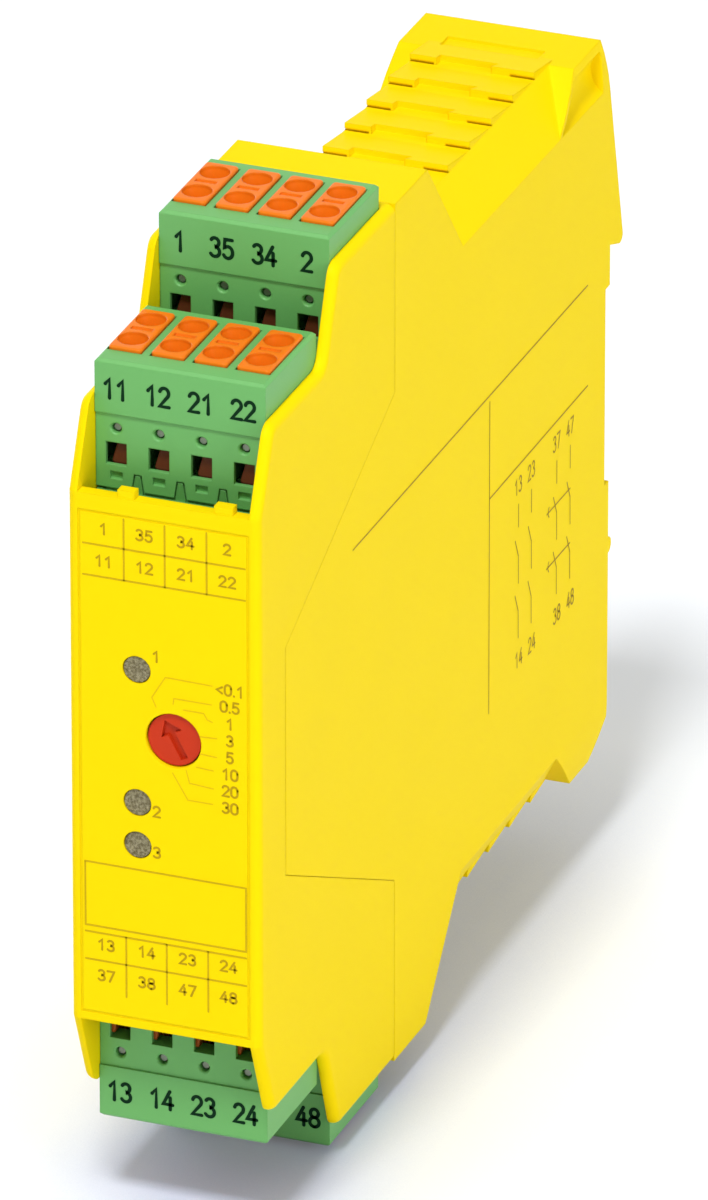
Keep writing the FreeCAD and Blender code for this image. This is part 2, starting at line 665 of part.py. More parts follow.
def hook_lip():
    """Lip across the back that grips behind the rail's upper edge, with a thinner tip."""
    near = SEAT_DEPTH + RAIL_SHEET + SLIP
    far = near + HOOK_LIP_THICK
    tip = HOOK_TIP - HOOK_LIP_DROP
    outline = [(near, HOOK_BOTTOM), (far, HOOK_BOTTOM), (far, tip + HOOK_LIP_BEVEL),
               (near + WALL, tip), (near, tip)]
    return side_prism(outline, HOOK_LIP_HALF)


def rest_ribs():
    """Two rounded ribs across the walls' rear edges, under the rail's lower edge."""
    height = -RAIL_HALF - REST_RIB_DROP - REST_RIB_RADIUS
    ribs = []
    for left in (-HALF, INNER - WALL):
        ribs.append(Part.makeCylinder(REST_RIB_RADIUS, 2 * WALL, Vector(left, 0, height), Vector(1, 0, 0)))
    return ribs


def catch_housing():
    """Block in the foot that guides the rail catch; its pockets are cut by catch_pockets."""
    side = CATCH_HALF + SLIP + CATCH_WALL
    return box(centred(side), (CATCH_FRONT - SLIP - CATCH_WALL, SEAT_DEPTH),
               (-ROOF_HALF, -CATCH_TOP + SLIP + CATCH_WALL))


def catch_pockets():
    """Guide for the catch's plate, and the narrower way out for its stem."""
    low = -ROOF_HALF - OVER
    plate = box(centred(CATCH_HALF + SLIP), (CATCH_FRONT - SLIP, CATCH_BACK + SLIP), (low, -CATCH_TOP + SLIP))
    stem = box(centred(CATCH_STEM_HALF + SLIP), (CATCH_BACK, SEAT_DEPTH + OVER), (low, -CATCH_TOP + SLIP))
    return [plate, stem]


def catch_peg():
    """Fixed peg that stands in the catch's window and carries the spring."""
    return box(centred(CATCH_WINDOW_HALF - SLIP), (CATCH_FRONT - SLIP - WALL / 2, CATCH_BACK - SLIP),
               (-PEG_TOP - PEG_THICK, -PEG_TOP))


def board_pads():
    """Small pads on the left wall that the main board lies on."""
    right = BOARD_LEFT - SEAT
    pads = []
    for depth in (BOARD_STEPS[1] + BOARD_PAD, BOARD_REAR - 2 * BOARD_PAD):
        low = BOARD_HALVES[2] - 2 * BOARD_PAD
        pad = box((-INNER - WALL / 2, right), (depth, depth + BOARD_PAD), (low, low + BOARD_PAD))
        pads += both_ends(pad)
    return pads


def rear_housing():
    body = side_prism(housing_outline(), HALF)
    body = body.cut(four_corners(facet_cutter()) + four_corners(tower_rounding()) + flank_scoop())
    outside = body.copy()
    body = body.cut(housing_cavity())
    body = fused([body, catch_housing().common(outside), hook_lip()] + louvre_slats() + rest_ribs()
                 + board_pads())
    body = body.cut(louvre_slots() + louvre_notches() + tower_recess())
    body = body.cut(catch_pockets())
    return fused([body, catch_peg()])


# ---- rail catch and its spring --------------------------------------------------------------------
def rail_catch():
    plate = box(centred(CATCH_HALF), (CATCH_FRONT, CATCH_BACK), (-CATCH_END, -CATCH_TOP))
    stem = box(centred(CATCH_STEM_HALF), (CATCH_BACK, SEAT_DEPTH - SLIP), (-CATCH_END, -CATCH_TOP))
    heel = SEAT_DEPTH - HEEL_SETBACK
    behind, bevel_top = SEAT_DEPTH + OVER, HEEL_RISE - ROOF_HALF
    bevel = side_prism([(heel, -ROOF_HALF), (SEAT_DEPTH, bevel_top), (behind, bevel_top),
                        (behind, -ROOF_HALF)], CATCH_HALF)
    near = SEAT_DEPTH + RAIL_SHEET + SLIP
    clear = -RAIL_HALF - SLIP
    far = near + CATCH_NOSE_THICK
    nose = side_prism([(SEAT_DEPTH - 2 * SLIP, clear), (near, clear), (near, -CATCH_NOSE_TOP),
                       (near + CATCH_SLOT, -CATCH_NOSE_TOP), (far, clear),
                       (near, -CATCH_NOSE_FOOT), (SEAT_DEPTH - 2 * SLIP, -CATCH_NOSE_FOOT)],
                      CATCH_STEM_HALF)
    catch = fused([plate, stem, nose]).cut(bevel)
    window = box(centred(CATCH_WINDOW_HALF), (CATCH_FRONT - OVER, CATCH_BACK),
                 (-CATCH_WINDOW_BOTTOM, -CATCH_WINDOW_TOP))
    middle = (CATCH_FRONT + CATCH_BACK) / 2
    slot = box(centred(CATCH_STEM_HALF), (middle - CATCH_SLOT / 2, middle + CATCH_SLOT / 2),
               (-CATCH_END - OVER, -CATCH_END + CATCH_SLOT_DEPTH))
    return catch.cut([window, slot])


def catch_spring():
    """Compression spring between the fixed peg and the upper end of the catch's window."""
    middle = y_at((CATCH_FRONT + CATCH_BACK) / 2)
    low = -PEG_TOP + SPRING_WIRE / 2 + SEAT
    high = -CATCH_WINDOW_TOP - SPRING_WIRE / 2 - SEAT
    helix = Part.makeHelix((high - low) / SPRING_TURNS, high - low, SPRING_RADIUS)
    profile = Part.Wire(Part.makeCircle(SPRING_WIRE / 2, Vector(SPRING_RADIUS, 0, 0), Vector(0, 1, 0)))
    coil = Part.Wire(helix).makePipeShell([profile], True, True)
    coil.translate(Vector(0, middle, low))
    return coil


# ---- terminal plugs -------------------------------------------------------------------------------
def plug_body():
    half = PLUG_WIDTH / 2
    bottom = PLUG_TOP - PLUG_BODY
    rear = PLUG_FRONT + PLUG_DEPTH
    body = box(centred(half), (PLUG_FRONT, rear), (bottom, PLUG_TOP))
    rim = [edge for edge in body.Edges if edge.BoundBox.ZMin > PLUG_TOP - 1e-3]
    body = body.makeChamfer(PLUG_EDGE, rim)
    nose_front = PLUG_FRONT + NOSE_SETBACK
    nose = box(centred(NOSE_HALF), (nose_front, nose_front + NOSE_DEPTH),
               (bottom - NOSE_LENGTH, bottom + OVER))
    body = fused([body, nose])
    face = box(centred(half + OVER), (PLUG_FRONT - OVER, PLUG_FRONT + LABEL_PROUD),
               (bottom - OVER, PLUG_TOP - LABEL_BAND))
    cutters = [face]
    for pole in range(POLES):
        cutters += pole_cutters(pole_x(pole))
    for gap in range(POLES - 1):
        cutters.append(keyway(gap_x(gap)))
    return body.cut(cutters)


def pole_cutters(x):
    """Chamber, contact pocket, window, test opening and sunk mark of one pole."""
    face = PLUG_FRONT + LABEL_PROUD
    bottom = PLUG_TOP - PLUG_BODY
    side = PUSHER_WIDTH / 2 + SEAT
    start = PLUG_FRONT + PUSHER_SETBACK - SEAT
    chamber = box((x - side, x + side), (start, start + PUSHER_DEPTH + 2 * SEAT), (CHAMBER_BOTTOM, FAR))
    pocket_half = SOCKET_INNER / 2 + SOCKET_STRIP + SEAT / 2
    middle = PLUG_FRONT + PIN_DEPTH
    pocket = box((x - pocket_half, x + pocket_half), (middle - pocket_half, middle + pocket_half),
                 (bottom - NOSE_LENGTH - OVER, CHAMBER_BOTTOM + OVER))
    window_z = PLUG_TOP - WINDOW_CENTRE
    window = box((x - WINDOW_WIDTH / 2, x + WINDOW_WIDTH / 2), (PLUG_FRONT, start + OVER),
                 (window_z - WINDOW_HEIGHT / 2, window_z + WINDOW_HEIGHT / 2))
    recess = box((x - side, x + side), (face + WINDOW_WALL, start + SEAT + TOE_REACH + SEAT),
                 (TOE_LOW - PUSHER_STROKE - SEAT, TOE_HIGH + SEAT))
    test = cylinder(TEST_RADIUS, start - PLUG_FRONT + OVER, x, PLUG_FRONT, PLUG_TOP - TEST_CENTRE)
    rim = Part.makeCone(TEST_RADIUS + TEST_RIM, TEST_RADIUS, TEST_RIM,
                        Vector(x, y_at(face), PLUG_TOP - TEST_CENTRE), Vector(0, 1, 0))
    mark_z = PLUG_TOP - MARK_CENTRE
    mark = box((x - MARK_WIDTH / 2, x + MARK_WIDTH / 2), (PLUG_FRONT, face + MARK_DEPTH),
               (mark_z - MARK_HEIGHT / 2, mark_z + MARK_HEIGHT / 2))
    return [chamber, pocket, window, recess, test, rim, mark]


def key_prism(x, gap, reach, depth_span):
    """Trapezoid between two poles, smaller than the keyway by a gap, reaching below the plug's edge."""
    bottom = PLUG_TOP - PLUG_BODY
    foot = KEYWAY_FOOT / 2 - gap
    top = KEYWAY_TOP / 2 - gap
    section = [(-foot, -reach), (foot, -reach), (foot, 0), (top, KEYWAY_HEIGHT - gap),
               (-top, KEYWAY_HEIGHT - gap), (-foot, 0)]
    start, end = [y_at(depth) for depth in depth_span]
    wire = Part.makePolygon([Vector(x + dx, start, bottom + dz) for dx, dz in section + section[:1]])
    return Part.Face(wire).extrude(Vector(0, end - start, 0))


def keyway(x):
    """Trapezoid keyway in the plug's face, open at its lower edge."""
    return key_prism(x, 0.0, OVER, (PLUG_FRONT, KEYWAY_BACK))


def pusher(pole, end):
    """Release piece of one pole: two wire funnels in its head, a leg and a toe behind the window."""
    x = pole_x(pole)
    half = PUSHER_WIDTH / 2
    start = PLUG_FRONT + PUSHER_SETBACK
    top = PLUG_TOP + PUSHER_PROUD
    head = box((x - half, x + half), (start, start + PUSHER_DEPTH), (top - PUSHER_THICK, top))
    upright = [edge for edge in head.Edges if edge.BoundBox.ZLength > PUSHER_THICK - 1e-3]
    head = head.makeFillet(PUSHER_ROUND, upright)
    head = head.makeFillet(HEAD_EDGE, [edge for edge in head.Edges if edge.BoundBox.ZMin > top - 1e-3])
    cutters = [box((x - half + VALLEY_END, x + half - VALLEY_END), valley_span(start),
                   (top - VALLEY_DEPTH, FAR))]
    for i in (0, 1):
        centre = Vector(x, y_at(start + FUNNEL_FIRST + i * FUNNEL_SPACING), top)
        down = Vector(0, 0, -1)
        cutters.append(Part.makeCylinder(FUNNEL_RADIUS, FUNNEL_RIM, centre, down))
        cutters.append(Part.makeCone(FUNNEL_RADIUS, FUNNEL_THROAT, FUNNEL_DEPTH,
                                     centre + down * FUNNEL_RIM, down))
        cutters.append(Part.makeCylinder(FUNNEL_THROAT, PUSHER_THICK + OVER, centre, down))
    return fused([head, *pusher_leg(x, half, start, end)]).cut(cutters)


def valley_span(start):
    middle = start + FUNNEL_FIRST + FUNNEL_SPACING / 2
    return (middle - VALLEY_WIDTH / 2, middle + VALLEY_WIDTH / 2)


def pusher_leg(x, half, start, end):
    """Leg down one side of the chamber, and the toe that catches behind the window."""
    hand = 1 if end == "upper" else -1
    neck = PLUG_TOP + PUSHER_PROUD - PUSHER_THICK
    side = sorted((x + hand * LEG_INNER, x + hand * half))
    leg = box(side, (start + SEAT, start + SEAT + LEG_DEPTH), (neck - LEG_REACH, neck + OVER))
    foot, shoulder = TOE_EDGES[end]
    front = y_at(PLUG_FRONT + LABEL_PROUD + WINDOW_WALL + SEAT)
    corners = [(foot, TOE_LOW, TOE_ROUND), (half, TOE_LOW, 0), (half, TOE_HIGH, 0), (shoulder, TOE_HIGH, 0)]
    wire = rounded_wire([(Vector(x + hand * dx, front, z), radius) for dx, z, radius in corners])
    toe = Part.Face(wire).extrude(Vector(0, y_at(start + SEAT + TOE_REACH) - front, 0))
    return [leg, toe]


def clamps():
    """Double cage springs on the chamber's floor, each with a stud behind the test opening."""
    front = PLUG_FRONT + PUSHER_SETBACK + LEG_DEPTH + 2 * SLIP
    rear = PLUG_FRONT + PUSHER_SETBACK + PUSHER_DEPTH - SLIP
    low = CHAMBER_BOTTOM + SEAT
    high = low + CLAMP_HEIGHT
    middle = (front + rear) / 2
    blade = (rear - front) / 2 - CLAMP_STRIP
    path = [(middle - SLIP, high - blade), (front, high), (front, low), (rear, low), (rear, high),
            (middle + SLIP, high - blade)]
    tip = PLUG_FRONT + LABEL_PROUD + TEST_PIN_SUNK
    pieces = []
    for pole in range(POLES):
        stud = cylinder(TEST_PIN_RADIUS, front + CLAMP_STRIP / 2 - tip, pole_x(pole), tip, PLUG_TOP - TEST_CENTRE)
        pieces.append(fused([strip(path, CLAMP_STRIP, CLAMP_WIDTH, pole_x(pole)), stud]))
    return Part.makeCompound(pieces)


def sockets():
    """Square spring sockets that take the header's pins."""
    outer = SOCKET_INNER / 2 + SOCKET_STRIP
    inner = SOCKET_INNER / 2
    middle = PLUG_FRONT + PIN_DEPTH
    low = PLUG_TOP - PLUG_BODY - NOSE_LENGTH + SLIP
    pieces = []
    for pole in range(POLES):
        x = pole_x(pole)
        tube = box((x - outer, x + outer), (middle - outer, middle + outer), (low, CHAMBER_BOTTOM - SEAT))
        bore = box((x - inner, x + inner), (middle - inner, middle + inner), (low - OVER, FAR))
        pieces.append(tube.cut(bore))
    return Part.makeCompound(pieces)


# ---- headers --------------------------------------------------------------------------------------
def header_shell():
    shell = box(centred(HEADER_HALF), (HEADER_FRONT, HEADER_REAR), (HEADER_BASE, HEADER_RIM))
    cavity = box(centred(HEADER_HALF - HEADER_WALL), (HEADER_FRONT + HEADER_WALL, HEADER_REAR - HEADER_WALL),
                 (HEADER_CAVITY, FAR))
    hole = PIN_SIZE / 2 + SEAT / 2
    middle = PLUG_FRONT + PIN_DEPTH
    holes = [box((pole_x(i) - hole, pole_x(i) + hole), (middle - hole, middle + hole),
                 (HEADER_BASE - OVER, HEADER_RIM)) for i in range(POLES)]
    face = PLUG_FRONT + LABEL_PROUD
    keys = [key_prism(gap_x(i), KEY_GAP, SLIP + KEY_ROOT, (face, KEYWAY_BACK - SEAT)) for i in range(POLES - 1)]
    return fused([shell.cut([cavity] + holes)] + keys)


def header_pins():
    """Square pins, each bent towards the main board and soldered through it."""
    half = PIN_SIZE / 2
    middle = PLUG_FRONT + PIN_DEPTH
    pins = []
    for pole in range(POLES):
        x = pole_x(pole)
        tail = HEADER_BASE - TAIL_FIRST - pole * TAIL_PITCH
        depth = (middle - half, middle + half)
        upright = box((x - half, x + half), depth, (tail - half, HEADER_RIM - PIN_TOP_GAP))
        run = box((BOARD_LEFT - TAIL_END, x + half), depth, (tail - half, tail + half))
        pins.append(fused([upright, run]))
    return Part.makeCompound(pins)


def tail_holes():
    """Plated holes in the main board for every header's pin tails."""
    radius = PIN_SIZE / 2 * math.sqrt(2) + SEAT / 2
    holes = []
    for tier in (0, 1):
        for pole in range(POLES):
            tail = HEADER_BASE - TAIL_FIRST - pole * TAIL_PITCH
            hole = cylinder(radius, 2 * BOARD_THICK, BOARD_LEFT - BOARD_THICK / 2,
                            PLUG_FRONT + PIN_DEPTH, tail, Vector(1, 0, 0))
            hole.translate(tier_shift(tier))
            holes += both_ends(hole)
    return holes


# ---- circuit boards and what they carry -----------------------------------------------------------
def main_board():
    low, mid, high = BOARD_HALVES
    first, second = BOARD_STEPS
    outline = with_mirror([(BOARD_FRONT, low), (first, low), (first, mid), (second, mid),
                           (second, high), (BOARD_REAR, high)])
    board = side_prism(outline, BOARD_THICK / 2)
    board.translate(Vector(BOARD_LEFT + BOARD_THICK / 2, 0, 0))
    return board.cut(tail_holes() + link_holes(Vector(1, 0, 0)))


def link_rows():
    return [(i - (LINK_PINS - 1) / 2) * LINK_SPACING for i in range(LINK_PINS)]


def link_centre():
    """Corner of the right-angle pin strip between the two boards (x, depth)."""
    return (BOARD_FACE + LINK_SIZE / 2, PANEL_BOARD_DEPTH + BOARD_THICK + LINK_SIZE / 2)


def link_holes(axis):
    x, depth = link_centre()
    radius = LINK_PIN / 2 * math.sqrt(2) + SEAT / 2
    if axis.x:
        x = BOARD_LEFT - OVER
    else:
        depth = PANEL_BOARD_DEPTH - OVER
    return [cylinder(radius, BOARD_THICK + 2 * OVER, x, depth, z, axis) for z in link_rows()]


def board_link():
    """Right-angle pin strip that joins the panel board to the main board."""
    x, depth = link_centre()
    half = LINK_SIZE / 2
    pin = LINK_PIN / 2
    length = LINK_PINS * LINK_SPACING / 2
    pieces = [box((x - half, x + half), (depth - half, depth + half), centred(length))]
    for z in link_rows():
        span = (z - pin, z + pin)
        pieces.append(box((BOARD_LEFT - TAIL_END, x), (depth - pin, depth + pin), span))
        pieces.append(box((x - pin, x + pin), (PANEL_BOARD_DEPTH - TAIL_END, depth), span))
    return fused(pieces)


def panel_board():
    board = box((BOARD_FACE + SLIP, INNER - SLIP), (PANEL_BOARD_DEPTH, PANEL_BOARD_DEPTH + BOARD_THICK),
                centred(PANEL_BOARD_HALF))
    return board.cut(link_holes(Vector(0, 1, 0)))


def relay(index):
    """One sealed relay, standing on the main board."""
    start = RELAY_START + index * RELAY_SPACING
    depth = (start, start + RELAY_SPACING - RELAY_GAP)
    case = box((BOARD_FACE, BOARD_FACE + RELAY_HEIGHT), depth, centred(RELAY_LENGTH / 2))
    top = [edge for edge in case.Edges if edge.BoundBox.XMin > BOARD_FACE + RELAY_HEIGHT - 1e-3]
    return case.makeFillet(RELAY_ROUND, top)


def transformer():
    """Supply transformer: a winding through a rectangular core."""
    end = CORE_START + CORE_DEPTH
    middle = (CORE_START + end) / 2
    centre = BOARD_FACE + CORE_HEIGHT / 2
    core = box((BOARD_FACE, BOARD_FACE + CORE_HEIGHT), (CORE_START, end), centred(CORE_LENGTH / 2))
    low, high = centre - WINDING_HEIGHT / 2, centre + WINDING_HEIGHT / 2
    winding = box((low, high), (middle - WINDING_DEPTH / 2, middle + WINDING_DEPTH / 2),
                  centred(WINDING_LENGTH / 2))
    window = box((BOARD_FACE - OVER, FAR), (CORE_START + CORE_YOKE, end - CORE_YOKE),
                 centred(CORE_LENGTH / 2 - CORE_YOKE))
    return fused([core.cut(window), winding])


def capacitor(side):
    """Electrolytic capacitor with the crimped groove near its foot."""
    crimp = CAPACITOR_CRIMP_HEIGHT
    half_section = [(0, 0), (CAPACITOR_RADIUS, 0), (CAPACITOR_RADIUS, crimp - CAPACITOR_CRIMP),
                    (CAPACITOR_RADIUS - CAPACITOR_CRIMP, crimp), (CAPACITOR_RADIUS, crimp + CAPACITOR_CRIMP),
                    (CAPACITOR_RADIUS, CAPACITOR_HEIGHT), (0, CAPACITOR_HEIGHT)]
    base = Vector(BOARD_FACE, y_at(CAPACITOR_DEPTH), side * CAPACITOR_OFFSET)
    points = [base + Vector(along, radial, 0) for radial, along in half_section + half_section[:1]]
    return Part.Face(Part.makePolygon(points)).revolve(base, Vector(1, 0, 0), 360)


def controller(side):
    """Flat controller chip, one for each channel."""
    z = side * CHIP_HEIGHT
    half = CHIP_SIZE / 2
    middle = BOARD_REAR - CHIP_SETBACK
    return box((BOARD_FACE, BOARD_FACE + CHIP_THICK), (middle - half, middle + half), (z - half, z + half))


def dial_switch():
    """Rotary switch behind the dial, with the bore for the dial's shaft."""
    half = SWITCH_SIZE / 2
    front = DIAL_SUNK + DIAL_HEAD + SLIP
    body = box((DIAL_X - half, DIAL_X + half), (front, PANEL_BOARD_DEPTH), (DIAL_Z - half, DIAL_Z + half))
    radius = DIAL_SHAFT_RADIUS + SHAFT_CLEARANCE
    return body.cut(cylinder(radius, DIAL_SHAFT_LENGTH + OVER, DIAL_X, front - OVER, DIAL_Z))


def time_dial():
    """Screwdriver dial with a sunk arrow, turned to its first position."""
    head = cylinder(DIAL_RADIUS, DIAL_HEAD, DIAL_X, DIAL_SUNK, DIAL_Z)
    shaft = cylinder(DIAL_SHAFT_RADIUS, DIAL_SHAFT_LENGTH, DIAL_X, DIAL_SUNK + DIAL_HEAD, DIAL_Z)
    tip = ARROW_LENGTH / 2
    neck = tip - ARROW_HEAD_LENGTH
    outline = [(-tip, -ARROW_WIDTH / 2), (neck, -ARROW_WIDTH / 2), (neck, -ARROW_HEAD / 2), (tip, 0),
               (neck, ARROW_HEAD / 2), (neck, ARROW_WIDTH / 2), (-tip, ARROW_WIDTH / 2)]
    front = y_at(DIAL_SUNK) - OVER
    wire = Part.makePolygon([Vector(DIAL_X + a, front, DIAL_Z + b) for a, b in outline + outline[:1]])
    arrow = Part.Face(wire).extrude(Vector(0, OVER + ARROW_DEPTH, 0))
    arrow.rotate(Vector(DIAL_X, front, DIAL_Z), Vector(0, -1, 0), DIAL_FIRST_ANGLE)
    return fused([head, shaft]).cut(arrow)


def light_guide(height):
    """Clear guide from a status lamp to the panel, with a flange behind the panel."""
    end = PANEL_BOARD_DEPTH - LED_SIZE[1] - SEAT
    rod = cylinder(LAMP_RADIUS, end - LAMP_SUNK, LAMP_X, LAMP_SUNK, height)
    flange = cylinder(LAMP_RADIUS + LAMP_FLANGE, LAMP_FLANGE_THICK, LAMP_X, PANEL_WALL + SEAT, height)
    return fused([rod, flange])


def status_lamps():
    """Three surface-mounted lamps on the panel board."""
    wide, deep, tall = LED_SIZE
    return Part.makeCompound([box((LAMP_X - wide / 2, LAMP_X + wide / 2),
                                  (PANEL_BOARD_DEPTH - deep, PANEL_BOARD_DEPTH),
                                  (height - tall / 2, height + tall / 2)) for height in LAMP_HEIGHTS])


# ---- all pieces -----------------------------------------------------------------------------------
def place(shape, tier, below):
    """Put a front upper bay's piece into another bay."""
    moved = shape.copy()
    moved.translate(tier_shift(tier))
    return mirrored(moved) if below else moved


def bay_pieces():
    """Header, pins and complete plug for each of the four bays."""
    shared = {"header": header_shell(), "header_pins": header_pins(), "plug": plug_body(),
              "clamps": clamps(), "sockets": sockets()}
    pushers = {end: {} for end in TOE_EDGES}
    for pole in range(POLES):
        for end in TOE_EDGES:
            pushers[end][f"pusher_{pole + 1}"] = pusher(pole, end)
    pieces = {}
    for below, end in ((False, "upper"), (True, "lower")):
        for tier, row in ((0, "front"), (1, "rear")):
            for name, shape in (shared | pushers[end]).items():
                pieces[f"{end}_{row}_{name}"] = place(shape, tier, below)
    return pieces


def all_pieces():
    pieces = {
        "rear_housing": rear_housing(),
        "front_cover": front_cover(),
        "rail_catch": rail_catch(),
        "catch_spring": catch_spring(),
        "main_board": main_board(),
        "panel_board": panel_board(),
        "board_link": board_link(),
        "supply_transformer": transformer(),
        "dial_switch": dial_switch(),
        "time_dial": time_dial(),
        "status_lamps": status_lamps(),
    }
    for index in range(RELAY_COUNT):
        pieces[f"relay_{index + 1}"] = relay(index)
    for index, side in enumerate((1, -1)):
        pieces[f"capacitor_{index + 1}"] = capacitor(side)
        pieces[f"controller_{index + 1}"] = controller(side)
    for index, height in enumerate(LAMP_HEIGHTS):
        pieces[f"light_guide_{index + 1}"] = light_guide(height)
    pieces.update(bay_pieces())
    return pieces


def main():
    os.makedirs("parts", exist_ok=True)
    for name, shape in all_pieces().items():
        shape.exportStep(f"parts/{name}.step")
        bounds = shape.BoundBox
        sizes = "%.1f x %.1f x %.1f mm" % (bounds.XLength, bounds.YLength, bounds.ZLength)
        print(f"{name:26s} solids {len(shape.Solids)}  valid {shape.isValid()}  {sizes}")


main()
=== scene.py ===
import json
import math

import bmesh
import bpy
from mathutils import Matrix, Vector


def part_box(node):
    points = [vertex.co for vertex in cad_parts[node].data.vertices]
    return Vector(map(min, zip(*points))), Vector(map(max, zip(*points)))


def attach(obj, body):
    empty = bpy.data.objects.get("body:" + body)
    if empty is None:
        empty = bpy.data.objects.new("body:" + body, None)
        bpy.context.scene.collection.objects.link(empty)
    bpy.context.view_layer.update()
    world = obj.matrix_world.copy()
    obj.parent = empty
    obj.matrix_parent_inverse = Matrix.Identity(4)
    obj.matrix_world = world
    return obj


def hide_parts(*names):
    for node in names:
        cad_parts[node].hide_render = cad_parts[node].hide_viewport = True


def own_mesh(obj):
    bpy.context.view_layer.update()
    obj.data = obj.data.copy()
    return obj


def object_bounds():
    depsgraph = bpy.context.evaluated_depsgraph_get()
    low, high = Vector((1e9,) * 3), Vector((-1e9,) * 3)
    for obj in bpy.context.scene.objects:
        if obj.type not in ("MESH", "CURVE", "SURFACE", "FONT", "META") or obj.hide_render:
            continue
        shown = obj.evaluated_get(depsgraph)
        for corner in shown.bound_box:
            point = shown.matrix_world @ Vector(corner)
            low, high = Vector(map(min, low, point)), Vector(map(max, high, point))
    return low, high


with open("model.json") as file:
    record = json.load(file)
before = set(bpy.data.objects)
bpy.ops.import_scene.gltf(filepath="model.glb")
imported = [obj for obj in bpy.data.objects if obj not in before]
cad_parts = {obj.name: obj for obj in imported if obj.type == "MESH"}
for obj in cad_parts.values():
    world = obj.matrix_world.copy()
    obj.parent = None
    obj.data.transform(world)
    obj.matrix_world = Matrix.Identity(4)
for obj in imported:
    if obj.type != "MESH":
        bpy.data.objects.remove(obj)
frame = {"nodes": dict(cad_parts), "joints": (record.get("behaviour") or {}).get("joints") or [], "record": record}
cad_low, cad_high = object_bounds()

MM = 0.001
FRONT = 110.0                      # front panel to the rail's bearing plane, mm


def low_of(node):
    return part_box(node)[0]


def high_of(node):
    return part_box(node)[1]


# ---- node trees ---------------------------------------------------------------------------------
class Value:
    """A socket that arithmetic can be written on."""

    def __init__(self, graph, socket):
        self.graph, self.socket = graph, socket

    def _math(self, operation, first, second=0.0):
        return self.graph.value("ShaderNodeMath", {"operation": operation}, {0: first, 1: second})

    def __add__(self, other):
        return self._math("ADD", self, other)

    def __sub__(self, other):
        return self._math("SUBTRACT", self, other)

    def __rsub__(self, other):
        return self._math("SUBTRACT", other, self)

    def __mul__(self, other):
        return self._math("MULTIPLY", self, other)

    def __abs__(self):
        return self._math("ABSOLUTE", self)

    def over(self, limit):
        return self._math("GREATER_THAN", self, limit)

    def sine(self):
        return self._math("SINE", self)

    def least(self, other):
        return self._math("MINIMUM", self, other)

    __radd__, __rmul__ = __add__, __mul__


class Graph:
    """The node tree of a material or of the world."""

    def __init__(self, owner):
        owner.use_nodes = True
        self.tree = owner.node_tree
        self.tree.nodes.clear()

    def node(self, kind, settings=None, sockets=None):
        node = self.tree.nodes.new(kind)
        for name, value in (settings or {}).items():
            setattr(node, name, value)
        for name, value in (sockets or {}).items():
            if isinstance(value, Value):
                self.tree.links.new(value.socket, node.inputs[name])
            else:
                node.inputs[name].default_value = value
        return node

    def value(self, kind, settings=None, sockets=None, output=0):
        """One output of a new node."""
        return Value(self, self.node(kind, settings, sockets).outputs[output])

    def seen(self):
        """1 for the camera, in mirrors and through glass too, and 0 for the light that falls."""
        rays = self.node("ShaderNodeLightPath").outputs
        camera, glossy, through = (Value(self, rays[f"Is {kind} Ray"])
                                   for kind in ("Camera", "Glossy", "Transmission"))
        return (camera + glossy + through).least(1.0)


class Finish(Graph):
    """A material, and the few patterns that its surface is made with."""

    def __init__(self, name):
        self.material = bpy.data.materials.new(name)
        super().__init__(self.material)
        self.place = self.value("ShaderNodeTexCoord", output="Object")

    def axes(self, *names):
        """Coordinates of the surface along the named axes, in metres."""
        split = self.node("ShaderNodeSeparateXYZ", None, {0: self.place})
        return [Value(self, split.outputs[name]) for name in names]

    def noise(self, size, detail=2.0, roughness=0.5, place=None):
        """Noise between 0 and 1 whose features are about size millimetres."""
        return self.value("ShaderNodeTexNoise", None,
                          {"Vector": place or self.place, "Scale": 1 / (size * MM),
                           "Detail": detail, "Roughness": roughness})

    def stretched(self, x, y, z):
        """The surface's place, with each axis scaled."""
        return self.value("ShaderNodeVectorMath", {"operation": "MULTIPLY"},
                          {0: self.place, 1: (x, y, z)})

    def blend(self, share, first, second):
        """Mix two colours."""
        return self.value("ShaderNodeMix", {"data_type": "RGBA"},
                          {0: share, 6: _colour(first), 7: _colour(second)}, output=2)

    def rounded(self, radius):
        """Normal of edges rounded by a radius in millimetres."""
        return self.value("ShaderNodeBevel", {"samples": 4}, {"Radius": radius * MM})

    def bump(self, height, depth, edge):
        """Normal of edges rounded by edge, with a relief of a height between 0 and 1 that is
        depth deep, both in millimetres."""
        return self.value("ShaderNodeBump", None,
                          {"Height": height, "Distance": depth * MM, "Strength": 1.0,
                           "Normal": self.rounded(edge)})

    def finish(self, colour, roughness, normal, sockets=None):
        """Close the material with its surface."""
        basic = {"Base Color": _colour(colour), "Roughness": roughness, "Normal": normal}
        surface = self.value("ShaderNodeBsdfPrincipled", None, basic | (sockets or {}))
        self.node("ShaderNodeOutputMaterial", None, {"Surface": surface})
        return self.material


def _colour(value):
    return value if isinstance(value, Value) else (*value, 1.0)


def shade(colour, factor):
    return tuple(min(1.0, channel * factor) for channel in colour)


def phase(along, wave):
    """Angle that turns once for each wave, in millimetres, along an axis."""
    return along * (2 * math.pi / (wave * MM))


def ridges(angle):
    """Relief that rises from 0 to 1 and falls again, twice for each turn of an angle."""
    return abs(angle.sine())


